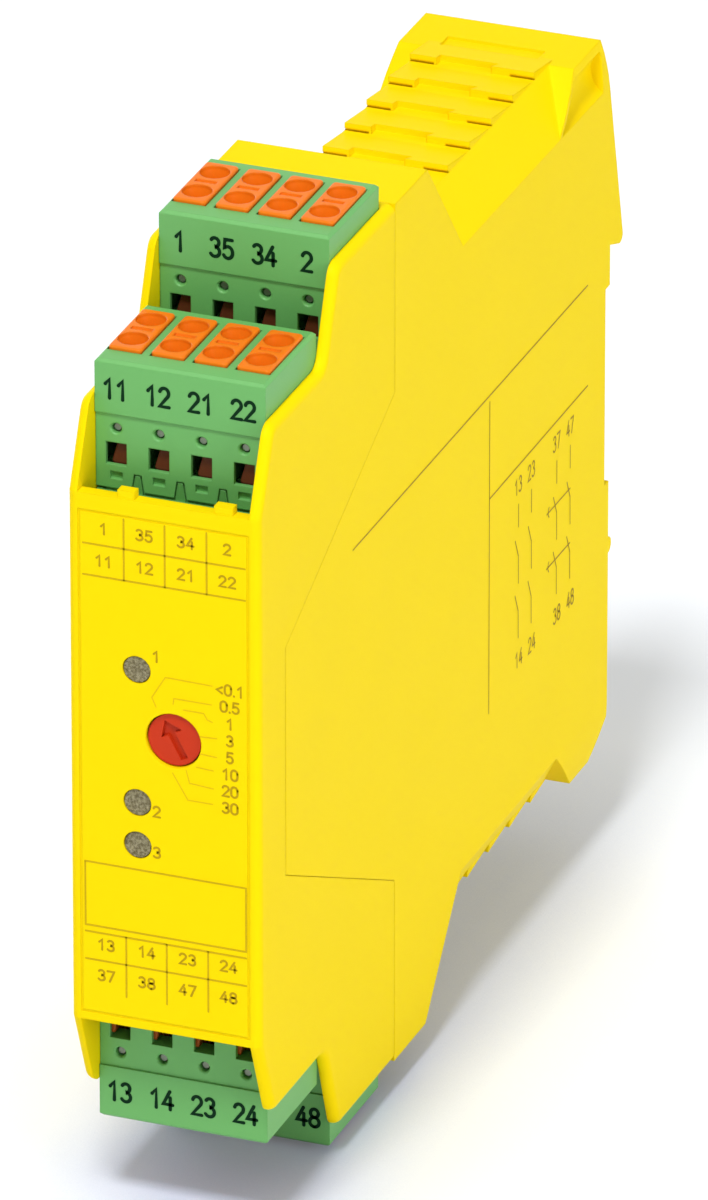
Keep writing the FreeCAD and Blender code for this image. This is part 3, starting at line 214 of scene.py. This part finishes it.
# ---- materials ----------------------------------------------------------------------------------
ERODED_GRAIN = 0.16                # grain of a spark-eroded mould, mm
ERODED_DEPTH = 0.006
PRISM_WAVE = 0.42                  # two prism rows of a lamp window, mm
# bright end of the lamp window's mottle: random specks and painted glints along the prism rows
SPECK_AND_GLINT = (0.50, 0.45, 0.27)
TRACK_WAVE, TRACK_CUT = 3.2, 0.86  # two board tracks, mm, and where a ridge is high enough for one
CROSS_WAVE, CROSS_CUT = 5.0, 0.93
TAPE_FROM = 7.6                    # the winding's tape begins this far from the middle, mm
TAPE_COLOUR = (0.62, 0.42, 0.05)
TURN_WAVE = 0.5                    # two turns of the winding, mm
STRIPE_COLOUR = (0.45, 0.46, 0.5)
TOE_END = 36.8                     # the front plugs' release pieces have their toes, coloured with painted shade, below this, mm
# painted shade on the release pieces' toes in their chambers, a lighter and a deeper one
TOE_PAINTED_SHADE_LIGHT = (0.36, 0.08, 0.01)
TOE_PAINTED_SHADE_DEEP = (0.12, 0.03, 0.012)


def moulded(name, colour, roughness=0.42, edge=0.25, specular=0.4, flow=0.04):
    """Moulded plastic: fine spark-eroded grain, faint flow marks and softly rounded edges."""
    g = Finish(name)
    grain = g.noise(ERODED_GRAIN, detail=3.0, roughness=0.6)
    cloud = g.noise(14.0)
    streak = g.noise(5.0, detail=3.0, roughness=0.6, place=g.stretched(1.0, 0.25, 0.6))
    tone = g.blend(cloud * 0.6 + streak * 0.4, shade(colour, 1 - flow), shade(colour, 1 + flow))
    return g.finish(tone, grain * 0.1 + streak * 0.06 + (roughness - 0.08),
                    g.bump(grain, ERODED_DEPTH, edge), {"Specular IOR Level": specular})


def metal(name, colour, roughness, along):
    """Drawn or rolled metal with fine lines along one axis."""
    g = Finish(name)
    lines = g.noise(0.08, place=g.stretched(*along))
    patch = g.noise(1.5, detail=3.0)
    return g.finish(g.blend(patch, shade(colour, 0.88), colour),
                    lines * 0.16 + patch * 0.08 + (roughness - 0.1),
                    g.bump(lines, depth=0.004, edge=0.08), {"Metallic": 1.0})


def lamp_window(name, colour):
    """Smoked light guide with crossed prism rows pressed into its end, and painted glints along the rows and in
    random specks.
    """
    g = Finish(name)
    x, z = g.axes("X", "Z")
    rows = ridges(phase(x + z, PRISM_WAVE)) * ridges(phase(x - z, PRISM_WAVE))
    speck = g.noise(0.32, detail=3.0, roughness=0.75)
    # painted glints: the prism rows and random specks are coloured bright over the dark smoke
    mottle_and_glint = rows * 0.4 + (speck - 0.5) * 3.4 + 0.22
    return g.finish(g.blend(mottle_and_glint, shade(colour, 0.42), SPECK_AND_GLINT), speck * 0.15 + 0.2,
                    g.bump(rows, depth=0.09, edge=0.15),
                    {"Coat Weight": 0.3, "Coat Roughness": 0.2, "Specular IOR Level": 0.3})


def circuit_board(name, colour):
    """Solder mask over faint copper tracks."""
    g = Finish(name)
    y, z = g.axes("Y", "Z")
    wander = g.noise(9.0, detail=1.0)
    tracks = ridges(phase(y, TRACK_WAVE) + wander * 9.0).over(TRACK_CUT)
    cross = ridges(phase(z, CROSS_WAVE) + wander * 7.0).over(CROSS_CUT)
    copper = tracks + cross * (1.0 - tracks)
    weave = g.noise(0.3)
    return g.finish(g.blend(copper, colour, shade(colour, 2.1)), weave * 0.1 + 0.28,
                    g.bump(copper * 0.8 + weave * 0.2, depth=0.03, edge=0.05),
                    {"Coat Weight": 0.3, "Coat Roughness": 0.1})


def wound_core(name, colour):
    """Ground ferrite, with taped winding on its far ends."""
    g = Finish(name)
    z, = g.axes("Z")
    tape = abs(z).over(TAPE_FROM * MM)
    speck = g.noise(0.18, detail=4.0, roughness=0.7)
    ferrite = g.blend(speck, shade(colour, 0.8), shade(colour, 1.3))
    turns = ridges(phase(z, TURN_WAVE))
    return g.finish(g.blend(tape, ferrite, TAPE_COLOUR), speck * 0.2 + 0.4,
                    g.bump(turns * tape * 0.7 + speck * 0.3, depth=0.03, edge=0.12))


def sleeve(name, colour):
    """Shrunk sleeve of a capacitor with its pale polarity stripe."""
    g = Finish(name)
    stripe = g.noise(40.0, detail=0.0).over(0.56)
    wrinkle = g.noise(0.8, detail=3.0, roughness=0.6, place=g.stretched(0.3, 1.0, 1.0))
    return g.finish(g.blend(stripe, colour, STRIPE_COLOUR), wrinkle * 0.1 + 0.25,
                    g.bump(wrinkle, depth=0.02, edge=0.1))


def release_piece(name, colour):
    """Moulded orange, with painted shade on the toe that sits in the plug's chamber."""
    g = Finish(name)
    y, z = g.axes("Y", "Z")
    front, rear = "upper_front_plug", "upper_rear_plug"
    in_rear_tier = y.over((low_of(rear).y + high_of(front).y) / 2)
    height = abs(z) - in_rear_tier * (high_of(rear).z - high_of(front).z)
    toe = 1.0 - height.over(TOE_END * MM)
    below = 1.0 - z.over(0.0)
    grain = g.noise(ERODED_GRAIN, detail=3.0, roughness=0.6)
    cloud = g.noise(3.0)
    lit = g.blend(cloud, shade(colour, 0.95), shade(colour, 1.05))
    # painted shade: the toe in its chamber is coloured dark, deeper on the upper plugs than on the lower ones
    return g.finish(g.blend(toe, lit, g.blend(below, TOE_PAINTED_SHADE_DEEP, TOE_PAINTED_SHADE_LIGHT)), grain * 0.1 + 0.28,
                    g.bump(grain, ERODED_DEPTH, edge=0.3), {"Specular IOR Level": 0.14})


def printed(name, colour):
    """Pad-printed ink, slightly uneven in density."""
    g = Finish(name)
    cover = g.noise(0.22, detail=4.0, roughness=0.7)
    return g.finish(g.blend(cover, shade(colour, 0.8), shade(colour, 1.25)), cover * 0.15 + 0.47,
                    g.bump(cover, depth=0.004, edge=0.02), {"Specular IOR Level": 0.08})


SLOT_MATERIALS = {
    "housing_yellow": moulded("yellow_moulding", (0.93, 0.69, 0.002), specular=0.02, flow=0.02),
    "plug_green": moulded("green_moulding", (0.14, 0.42, 0.115), edge=0.18, specular=0.3,
                          flow=0.05),
    "header_green": moulded("header_moulding", (0.10, 0.32, 0.08), roughness=0.45, edge=0.12),
    "release_orange": release_piece("orange_moulding", (0.85, 0.19, 0.006)),
    "dial_red": moulded("red_moulding", (0.55, 0.033, 0.005), roughness=0.4, edge=0.12,
                        specular=0.15),
    "lamp_window": lamp_window("smoked_window", (0.27, 0.21, 0.065)),
    "catch_black": moulded("catch_moulding", (0.02, 0.02, 0.02), roughness=0.5, edge=0.2),
    "relay_case": moulded("relay_moulding", (0.018, 0.018, 0.02), roughness=0.45, edge=0.3),
    "component_black": moulded("component_moulding", (0.014, 0.014, 0.014), roughness=0.5,
                               edge=0.1),
    "spring_steel": metal("spring_strip", (0.19, 0.215, 0.165), 0.42, along=(1.0, 1.0, 0.05)),
    "tinned_pin": metal("tinned_wire", (0.72, 0.72, 0.70), 0.35, along=(1.0, 1.0, 0.1)),
    "contact_bronze": metal("bronze_strip", (0.66, 0.44, 0.20), 0.34, along=(1.0, 1.0, 0.1)),
    "board_green": circuit_board("solder_mask", (0.01, 0.10, 0.03)),
    "ferrite": wound_core("ground_ferrite", (0.05, 0.05, 0.052)),
    "capacitor_sleeve": sleeve("shrunk_sleeve", (0.015, 0.02, 0.06)),
}
PANEL_INK = printed("brown_ink", (0.47, 0.30, 0.004))
RULE_INK = printed("rule_ink", (0.58, 0.385, 0.004))
SIDE_INK = printed("olive_ink", (0.36, 0.22, 0.01))
LEADER_INK = printed("pale_ink", (0.74, 0.50, 0.004))
PLUG_INK = printed("dark_ink", (0.001, 0.022, 0.006))


# ---- pieces -------------------------------------------------------------------------------------
def add_object(name, data):
    thing = bpy.data.objects.new(name, data)
    bpy.context.scene.collection.objects.link(thing)
    return thing


def add_piece(name, data, body):
    """A piece that rides on a body."""
    piece = add_object(name, data)
    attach(piece, body)
    return piece


def mesh_data(name, mesh, material):
    """Turns a mesh under construction into an object's data, in one material."""
    data = bpy.data.meshes.new(name)
    mesh.to_mesh(data)
    mesh.free()
    data.materials.append(material)
    return data


def dress_nodes():
    slots = {entry["node"]: entry["material_slot"] for entry in frame["record"]["subparts"]}
    for node, piece in frame["nodes"].items():
        piece.data.materials.clear()
        piece.data.materials.append(SLOT_MATERIALS[slots[node]])


def catch_spring_coil():
    """The catch's spring, as a copy of its mesh that rides on the housing in place of the imported one."""
    joint = next(joint for joint in frame["joints"] if joint["name"] == "catch_pull")
    fixed_end = joint["deforming_nodes"][0]["fixed_end_z_m"]
    length = high_of("catch_spring").z - fixed_end
    coil = frame["nodes"]["catch_spring"].data.copy()
    piece = add_piece("catch_spring_coil", coil, "housing")
    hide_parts("catch_spring")
    1 - joint["range_m"][1] / length
    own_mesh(piece)


LABEL_HALF_WIDTH, LABEL_LOW, LABEL_HIGH = 10.0, -30.8, 30.6    # groove round the label field, mm
GROOVE = 0.22                      # the groove's width and depth, mm
GROOVE_LEFT = 0.06                 # depth that its bed leaves open, mm
GROOVE_GRIP = 0.02                 # how far the bed reaches into the groove's walls, mm


def groove_bed():
    """Bed that leaves only a hairline step of the groove round the label field."""
    mesh = bmesh.new()
    rings = []
    for depth in (GROOVE_LEFT, GROOVE + GROOVE_GRIP):
        for inset in (-GROOVE_GRIP, GROOVE + GROOVE_GRIP):
            half, low, high = LABEL_HALF_WIDTH - inset, LABEL_LOW + inset, LABEL_HIGH - inset
            corners = ((-half, low), (half, low), (half, high), (-half, high))
            rings.append([mesh.verts.new(Vector((x, depth - FRONT, z)) * MM) for x, z in corners])
    front_outer, front_inner, back_outer, back_inner = rings
    around = (front_outer, front_inner, back_inner, back_outer, front_outer)
    for first, second in zip(around, around[1:]):
        for i in range(4):
            j = (i + 1) % 4
            mesh.faces.new((first[i], first[j], second[j], second[i]))
    bmesh.ops.recalc_face_normals(mesh, faces=mesh.faces)
    data = mesh_data("label_groove_bed", mesh, SLOT_MATERIALS["housing_yellow"])
    add_piece("label_groove_bed", data, "housing")


# ---- printed marks ------------------------------------------------------------------------------
PRINT_LIFT = 0.03                  # printed marks lie this far off the surface, mm
POINT_WIDTH = 0.08                 # a decimal point's width, as a share of the height
MITRE_LIMIT = 0.6                  # least cosine that a bend's corner is drawn out for
CAP_STEPS = 6                      # facets of a stroke's round end


def arc(x, z, rx, rz, start, end, steps=14):
    """Points along an ellipse's arc, from a start angle to an end angle in degrees."""
    angles = [math.radians(start + (end - start) * i / steps) for i in range(steps + 1)]
    return [(x + rx * math.cos(a), z + rz * math.sin(a)) for a in angles]


# Each character is drawn in a box one unit wide and one unit high.
CHARACTERS = {
    "0": [arc(0.5, 0.68, 0.5, 0.32, 0, 180) + arc(0.5, 0.32, 0.5, 0.32, 180, 360) + [(1.0, 0.68)]],
    "1": [[(0.18, 0.74), (0.62, 1.0), (0.62, 0.0)]],
    "2": [arc(0.5, 0.73, 0.47, 0.27, 165, -35) + [(0.02, 0.0), (1.0, 0.0)]],
    "3": [arc(0.47, 0.765, 0.43, 0.235, 150, -90) + arc(0.47, 0.265, 0.5, 0.265, 90, -150)],
    "4": [[(0.70, 1.0), (0.0, 0.27), (1.0, 0.27)], [(0.74, 0.66), (0.74, 0.0)]],
    "5": [[(0.92, 1.0), (0.16, 1.0), (0.08, 0.55)] + arc(0.46, 0.32, 0.5, 0.32, 128, -150)],
    "7": [[(0.0, 1.0), (1.0, 1.0), (0.34, 0.0)]],
    "8": [arc(0.5, 0.765, 0.42, 0.235, -90, 270, 20), arc(0.5, 0.265, 0.5, 0.265, -90, 270, 20)],
    ".": [[(0.5, 0.0), (0.5, 0.03)]],
    "<": [[(0.95, 0.72), (0.1, 0.42), (0.95, 0.12)]],
}


class Lettering:
    """One size of numerals: height, digit width, gap and stroke, in millimetres."""

    def __init__(self, height, width, gap, stroke):
        self.height, self.width, self.gap, self.stroke = height, width, gap, stroke

    def strokes(self, text, x, z):
        """Strokes of a number centred on a point of its plane."""
        tall = self.height - self.stroke
        widths = [POINT_WIDTH * self.height if char == "." else self.width for char in text]
        left = x - (sum(widths) + self.gap * (len(text) - 1)) / 2
        strokes = []
        for char, width in zip(text, widths):
            for stroke in CHARACTERS[char]:
                strokes.append([(left + u * width, z + (v - 0.5) * tall) for u, v in stroke])
            left += width + self.gap
        return strokes


PLUG_LETTERING = Lettering(2.65, 1.12, 0.42, 0.42)
TABLE_LETTERING = Lettering(1.5, 0.78, 0.32, 0.25)
SCALE_LETTERING = Lettering(1.5, 0.74, 0.28, 0.25)
SIDE_LETTERING = Lettering(2.1, 0.92, 0.36, 0.24)
PANEL_RULE, LEADER, SIDE_RULE = 0.21, 0.14, 0.2                # line widths, mm


def add_stroke(mesh, points, width, to_space):
    """One stroke as a strip of quads with mitred bends and a round cap at each end."""
    points = [Vector(p) for p in points]
    half = width / 2
    steps = [(b - a).normalized() for a, b in zip(points, points[1:])]
    rows = []
    for i, point in enumerate(points):
        before, after = steps[max(i - 1, 0)], steps[min(i, len(steps) - 1)]
        along = (before + after).normalized()
        side = Vector((-along.y, along.x)) * (half / max(MITRE_LIMIT, along.dot(after)))
        rows.append([mesh.verts.new(to_space(p)) for p in (point + side, point - side)])
    for (a, b), (c, d) in zip(rows, rows[1:]):
        mesh.faces.new((b, d, c, a))
    first, last = rows[0][::-1], rows[-1]
    for end, out, (a, b) in ((points[0], -steps[0], first), (points[-1], steps[-1], last)):
        side = Vector((-out.y, out.x))
        turns = (math.pi * i / CAP_STEPS for i in range(1, CAP_STEPS))
        cap = [end + (side * math.cos(t) + out * math.sin(t)) * half for t in turns]
        mesh.faces.new([a] + [mesh.verts.new(to_space(p)) for p in cap] + [b])


def add_print(name, strokes, width, surface, material, body):
    """A mesh piece of flat strokes on a surface, which rides with a body."""
    to_space, facing = surface
    mesh = bmesh.new()
    for stroke in strokes:
        add_stroke(mesh, stroke, width, to_space)
    for face in mesh.faces:
        face.normal_update()
        if face.normal.dot(facing) < 0:
            face.normal_flip()
    add_piece(name, mesh_data(name, mesh, material), body)


def on_front(depth):
    """Plane that faces forwards at a depth behind the panel: (right, up) in millimetres."""
    return lambda p: Vector((p[0], depth - FRONT - PRINT_LIFT, p[1])) * MM, Vector((0, -1, 0))


def on_side():
    """Right side wall: (depth, up) in millimetres."""
    wall = cad_high.x / MM + PRINT_LIFT
    return lambda p: Vector((wall, p[0] - FRONT, p[1])) * MM, Vector((1, 0, 0))


POLE_PLACES = (-7.6, -2.6, 2.4, 7.4)
NUMBER_FROM_END = 3.4              # middle of a plug's numbers from its outer end, mm
UPPER_ROWS = (("1", "35", "34", "2"), ("11", "12", "21", "22"))
LOWER_ROWS = (("13", "14", "23", "24"), ("37", "38", "47", "48"))


def plug_numbers():
    """Terminal numbers on the four plugs."""
    rows = {"upper_rear_plug": UPPER_ROWS[0], "upper_front_plug": UPPER_ROWS[1],
            "lower_front_plug": LOWER_ROWS[0], "lower_rear_plug": LOWER_ROWS[1]}
    for plug, numbers in rows.items():
        low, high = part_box(plug)
        outward = 1 if high.z > -low.z else -1
        end = (high.z if outward > 0 else low.z) / MM
        strokes = []
        for x, number in zip(POLE_PLACES, numbers):
            strokes += PLUG_LETTERING.strokes(number, x, end - outward * NUMBER_FROM_END)
        add_print(f"numbers_{plug}", strokes, PLUG_LETTERING.stroke,
                  on_front(low.y / MM + FRONT), PLUG_INK, plug)


SCALE_X = 7.75                     # middle of the time scale's numbers, mm
SCALE_FIRST = 11.6
SCALE_PITCH = 2.05
SCALE_VALUES = ("<0.1", "0.5", "1", "3", "5", "10", "20", "30")
LEADERS = (                        # lines from the dial to its numbers, mm
    ((-0.9, 8.1), (-1.4, 9.2), (0.2, 11.9), (5.7, 11.8)),
    ((1.1, 8.8), (1.2, 9.5), (5.6, 9.5)),
    ((2.3, 8.3), (4.7, 8.3), (5.1, 7.6), (5.7, 7.4)),
    ((4.3, 5.4), (6.2, 5.5)),
    ((4.3, 3.3), (6.2, 3.2)),
    ((3.8, 1.6), (5.8, 1.5)),
    ((2.6, 1.0), (3.0, -0.5), (5.8, -0.7)),
    ((1.0, 0.4), (2.8, -2.6), (5.7, -2.6)),
)
LAMP_MARKS_X = -0.9
LAMP_MARKS_UP = (14.2, -4.7, -9.7)
TABLE_COLUMNS = (-7.0, -2.2, 2.65, 7.5)
TABLE_DIVIDERS = (-4.6, 0.2, 5.1)
PANEL_LEFT, PANEL_RIGHT = -9.4, 9.6                            # ends of the panel's rules, mm
TABLES = (
    # numbers, heights of their rows, of the rules across, and of the dividers' two ends
    (UPPER_ROWS, (28.6, 24.7), (26.6, 22.8), (30.2, 22.8)),
    (LOWER_ROWS, (-22.2, -26.0), (-20.8, -24.2), (-20.8, -28.2)),
)
LABEL_TOP, LABEL_FOOT = -12.2, -20.0
LABEL_FRAME = ((PANEL_LEFT, LABEL_TOP), (PANEL_RIGHT, LABEL_TOP), (PANEL_RIGHT, LABEL_FOOT),
               (PANEL_LEFT, LABEL_FOOT), (PANEL_LEFT, LABEL_TOP - 0.1))


def panel_numbers():
    """Numbers of the terminal tables at both ends of the panel, and of the lamps."""
    strokes = []
    for rows, heights, _, _ in TABLES:
        for height, texts in zip(heights, rows):
            for x, text in zip(TABLE_COLUMNS, texts):
                strokes += TABLE_LETTERING.strokes(text, x, height)
    for i, height in enumerate(LAMP_MARKS_UP):
        strokes += TABLE_LETTERING.strokes(str(i + 1), LAMP_MARKS_X, height)
    return strokes


def scale_numbers():
    """Numbers of the time scale beside the dial."""
    strokes = []
    for i, text in enumerate(SCALE_VALUES):
        strokes += SCALE_LETTERING.strokes(text, SCALE_X, SCALE_FIRST - SCALE_PITCH * i)
    return strokes


def panel_rules():
    """Lines of the terminal tables, and the blank label's frame."""
    across = [((PANEL_LEFT, z), (PANEL_RIGHT, z)) for _, _, rules, _ in TABLES for z in rules]
    upright = [((x, top), (x, foot)) for *_, (top, foot) in TABLES for x in TABLE_DIVIDERS]
    return [*across, *upright, LABEL_FRAME]


def panel_print():
    for name, strokes, width, ink in (
            ("panel_numbers", panel_numbers(), TABLE_LETTERING.stroke, PANEL_INK),
            ("scale_numbers", scale_numbers(), SCALE_LETTERING.stroke, PANEL_INK),
            ("panel_rules", panel_rules(), PANEL_RULE, RULE_INK),
            ("panel_leaders", LEADERS, LEADER, LEADER_INK)):
        add_print(name, strokes, width, on_front(0.0), ink, "housing")


CONTACT_ROWS = (-3.9, -10.8)       # upper ends of the two contacts of each column, mm
CONTACT_COLUMNS = (                # depth of each column, and the numbers above and below it
    (80.4, "13", "14"), (84.6, "23", "24"), (92.8, "37", "38"), (97.2, "47", "48"))
COLUMN_HEAD = ((0.0, -0.9), (0.0, -3.7))                       # lead above a column's contacts
ABOVE_COLUMN, BELOW_COLUMN = (-0.1, 1.5), (0.25, -20.4)        # places of its numbers
CONTACT = ((-1.05, -1.2), (0.0, -3.5), (0.05, -6.9))           # slanting blade and fixed lead
DELAY_BAR_FROM, DELAY_BAR_DROP = 89.6, 2.4                     # bar that links the timed contacts
DELAY_ARC = 90.6
SIDE_RULES = (((28.2, 16.6), (102.6, 16.9)), ((71.0, 3.9), (102.8, 4.2)),
              ((71.0, 16.0), (71.0, -23.0)))


def moved(points, depth, up):
    return [(x + depth, z + up) for x, z in points]


def side_print():
    """Rules, contact columns and their numbers on the right side wall."""
    symbols, numbers = [], []
    for depth, above, below in CONTACT_COLUMNS:
        symbols.append(moved(COLUMN_HEAD, depth, 0.0))
        symbols += [moved(CONTACT, depth, top) for top in CONTACT_ROWS]
        for text, (aside, height) in ((above, ABOVE_COLUMN), (below, BELOW_COLUMN)):
            numbers += SIDE_LETTERING.strokes(text, depth + aside, height)
    last_column = CONTACT_COLUMNS[-1][0]
    for top in CONTACT_ROWS:
        bar = top - DELAY_BAR_DROP
        symbols.append([(DELAY_BAR_FROM, bar), (last_column, bar)])
        symbols.append(arc(DELAY_ARC, bar, 0.55, 0.7, 120, 240, 6))
    for name, strokes, width in (("side_rules", SIDE_RULES, SIDE_RULE),
                                 ("side_symbols", symbols, SIDE_RULE),
                                 ("side_numbers", numbers, SIDE_LETTERING.stroke)):
        add_print(name, strokes, width, on_side(), SIDE_INK, "housing")


# ---- studio -------------------------------------------------------------------------------------
FLOOR_HALF = 3.0                   # half the floor's width, m
FLOOR_GAP = 0.0006                 # gap between the object and the floor, m
PAPER = ((0.91, 0.94, 0.98), (0.92, 0.95, 0.99))
SHADE_REACH, SHADE_GAIN = 0.028, 1.5                           # painted shade on the floor close to the object: its reach, m, and its strength
SHADE_TINT = (0.42, 0.47, 0.66)    # cool tint of the painted shade, against the yellow light that the housing throws on it
FADE_FROM, FADE_TO = 0.05, 0.6     # squared distances between which the floor turns white, m2
FLOOR_LIFT = 0.09                  # glow that brings the near floor up to white
LIGHTS = (                         # name, place and size in m, power in W
    ("key_light", (0.03, -0.8, 1.42), (0.34, 0.34), 18.0),
    ("fill_light", (1.3, -0.5, 0.35), (0.8, 0.8), 6.7),
    ("back_light", (-1.25, 0.75, 0.42), (1.0, 0.8), 6.0),
)
AROUND, BEHIND = 0.42, 1.0         # the world's strength as light, and as background
CAMERA_AZIMUTH, CAMERA_ELEVATION = math.radians(21.084), math.radians(25.713)
CAMERA_DISTANCE = 1.8902           # m
CAMERA_LENS = 505.2                # mm, on a 36 mm sensor
AIM, AIM_RIGHT, AIM_UP = Vector((0, -0.055, 0)), 0.0010, -0.00313


def floor():
    """White paper that keeps the object's shadow, with painted shade close to the object, and turns plain white
    farther off.
    """
    low = cad_low.z - FLOOR_GAP
    signs = ((-1, -1), (1, -1), (1, 1), (-1, 1))
    data = bpy.data.meshes.new("floor")
    data.from_pydata([(x * FLOOR_HALF, y * FLOOR_HALF, low) for x, y in signs], [],
                     [(0, 1, 2, 3)])
    g = Finish("floor_paper")
    fibre = g.noise(1.2, detail=3.0)
    # painted shade: the floor's colour darkens and cools where ambient occlusion finds the object near
    open_share = g.value("ShaderNodeAmbientOcclusion", {"samples": 8}, {"Distance": SHADE_REACH},
                         output="AO")
    painted_shade_share = ((1.0 - open_share) * SHADE_GAIN).least(1.0)
    x, y = g.axes("X", "Y")
    away = g.value("ShaderNodeMapRange", {"interpolation_type": "SMOOTHSTEP"},
                   {"Value": x * x + y * y, "From Min": FADE_FROM, "From Max": FADE_TO})
    glow = {"Specular IOR Level": 0.0, "Emission Strength": 1.0,
            "Emission Color": g.seen() * (away + FLOOR_LIFT)}
    data.materials.append(g.finish(g.blend(painted_shade_share, g.blend(fibre, *PAPER), SHADE_TINT), 0.9,
                                   g.bump(fibre, depth=0.01, edge=0.1), glow))
    add_object("floor", data)


def lights():
    middle = (cad_low + cad_high) / 2
    for name, place, (width, height), power in LIGHTS:
        light = bpy.data.lights.new(name, "AREA")
        light.shape = "RECTANGLE"
        light.size, light.size_y = width, height
        light.energy = power
        thing = add_object(name, light)
        thing.location = place
        thing.rotation_euler = (middle - Vector(place)).to_track_quat("-Z", "Y").to_euler()


def white_world():
    """Soft white all round, and plain white where the camera or a mirror sees past the floor."""
    world = bpy.data.worlds.new("studio")
    g = Graph(world)
    around, behind = (g.value("ShaderNodeBackground", None,
                              {"Color": (1, 1, 1, 1), "Strength": strength})
                      for strength in (AROUND, BEHIND))
    light = g.value("ShaderNodeMixShader", None, {0: g.seen(), 1: around, 2: behind})
    g.node("ShaderNodeOutputWorld", None, {"Surface": light})
    bpy.context.scene.world = world


def camera():
    """Long lens, to the right of the panel and above it."""
    azimuth, elevation = CAMERA_AZIMUTH, CAMERA_ELEVATION
    back = Vector((math.sin(azimuth) * math.cos(elevation),
                   -math.cos(azimuth) * math.cos(elevation), math.sin(elevation)))
    right = Vector((math.cos(azimuth), math.sin(azimuth), 0.0))
    up = back.cross(right)
    data = bpy.data.cameras.new("camera")
    data.lens, data.sensor_width = CAMERA_LENS, 36.0
    data.sensor_fit = "AUTO"
    data.clip_start, data.clip_end = 0.1, 20.0
    thing = add_object("camera", data)
    thing.location = AIM + right * AIM_RIGHT + up * AIM_UP + back * CAMERA_DISTANCE
    thing.rotation_euler = (-back).to_track_quat("-Z", "Y").to_euler()
    bpy.context.scene.camera = thing


bpy.context.scene.view_settings.view_transform = "Standard"
dress_nodes()
catch_spring_coil()
plug_numbers()
panel_print()
groove_bed()
side_print()
floor()
lights()
white_world()
camera()
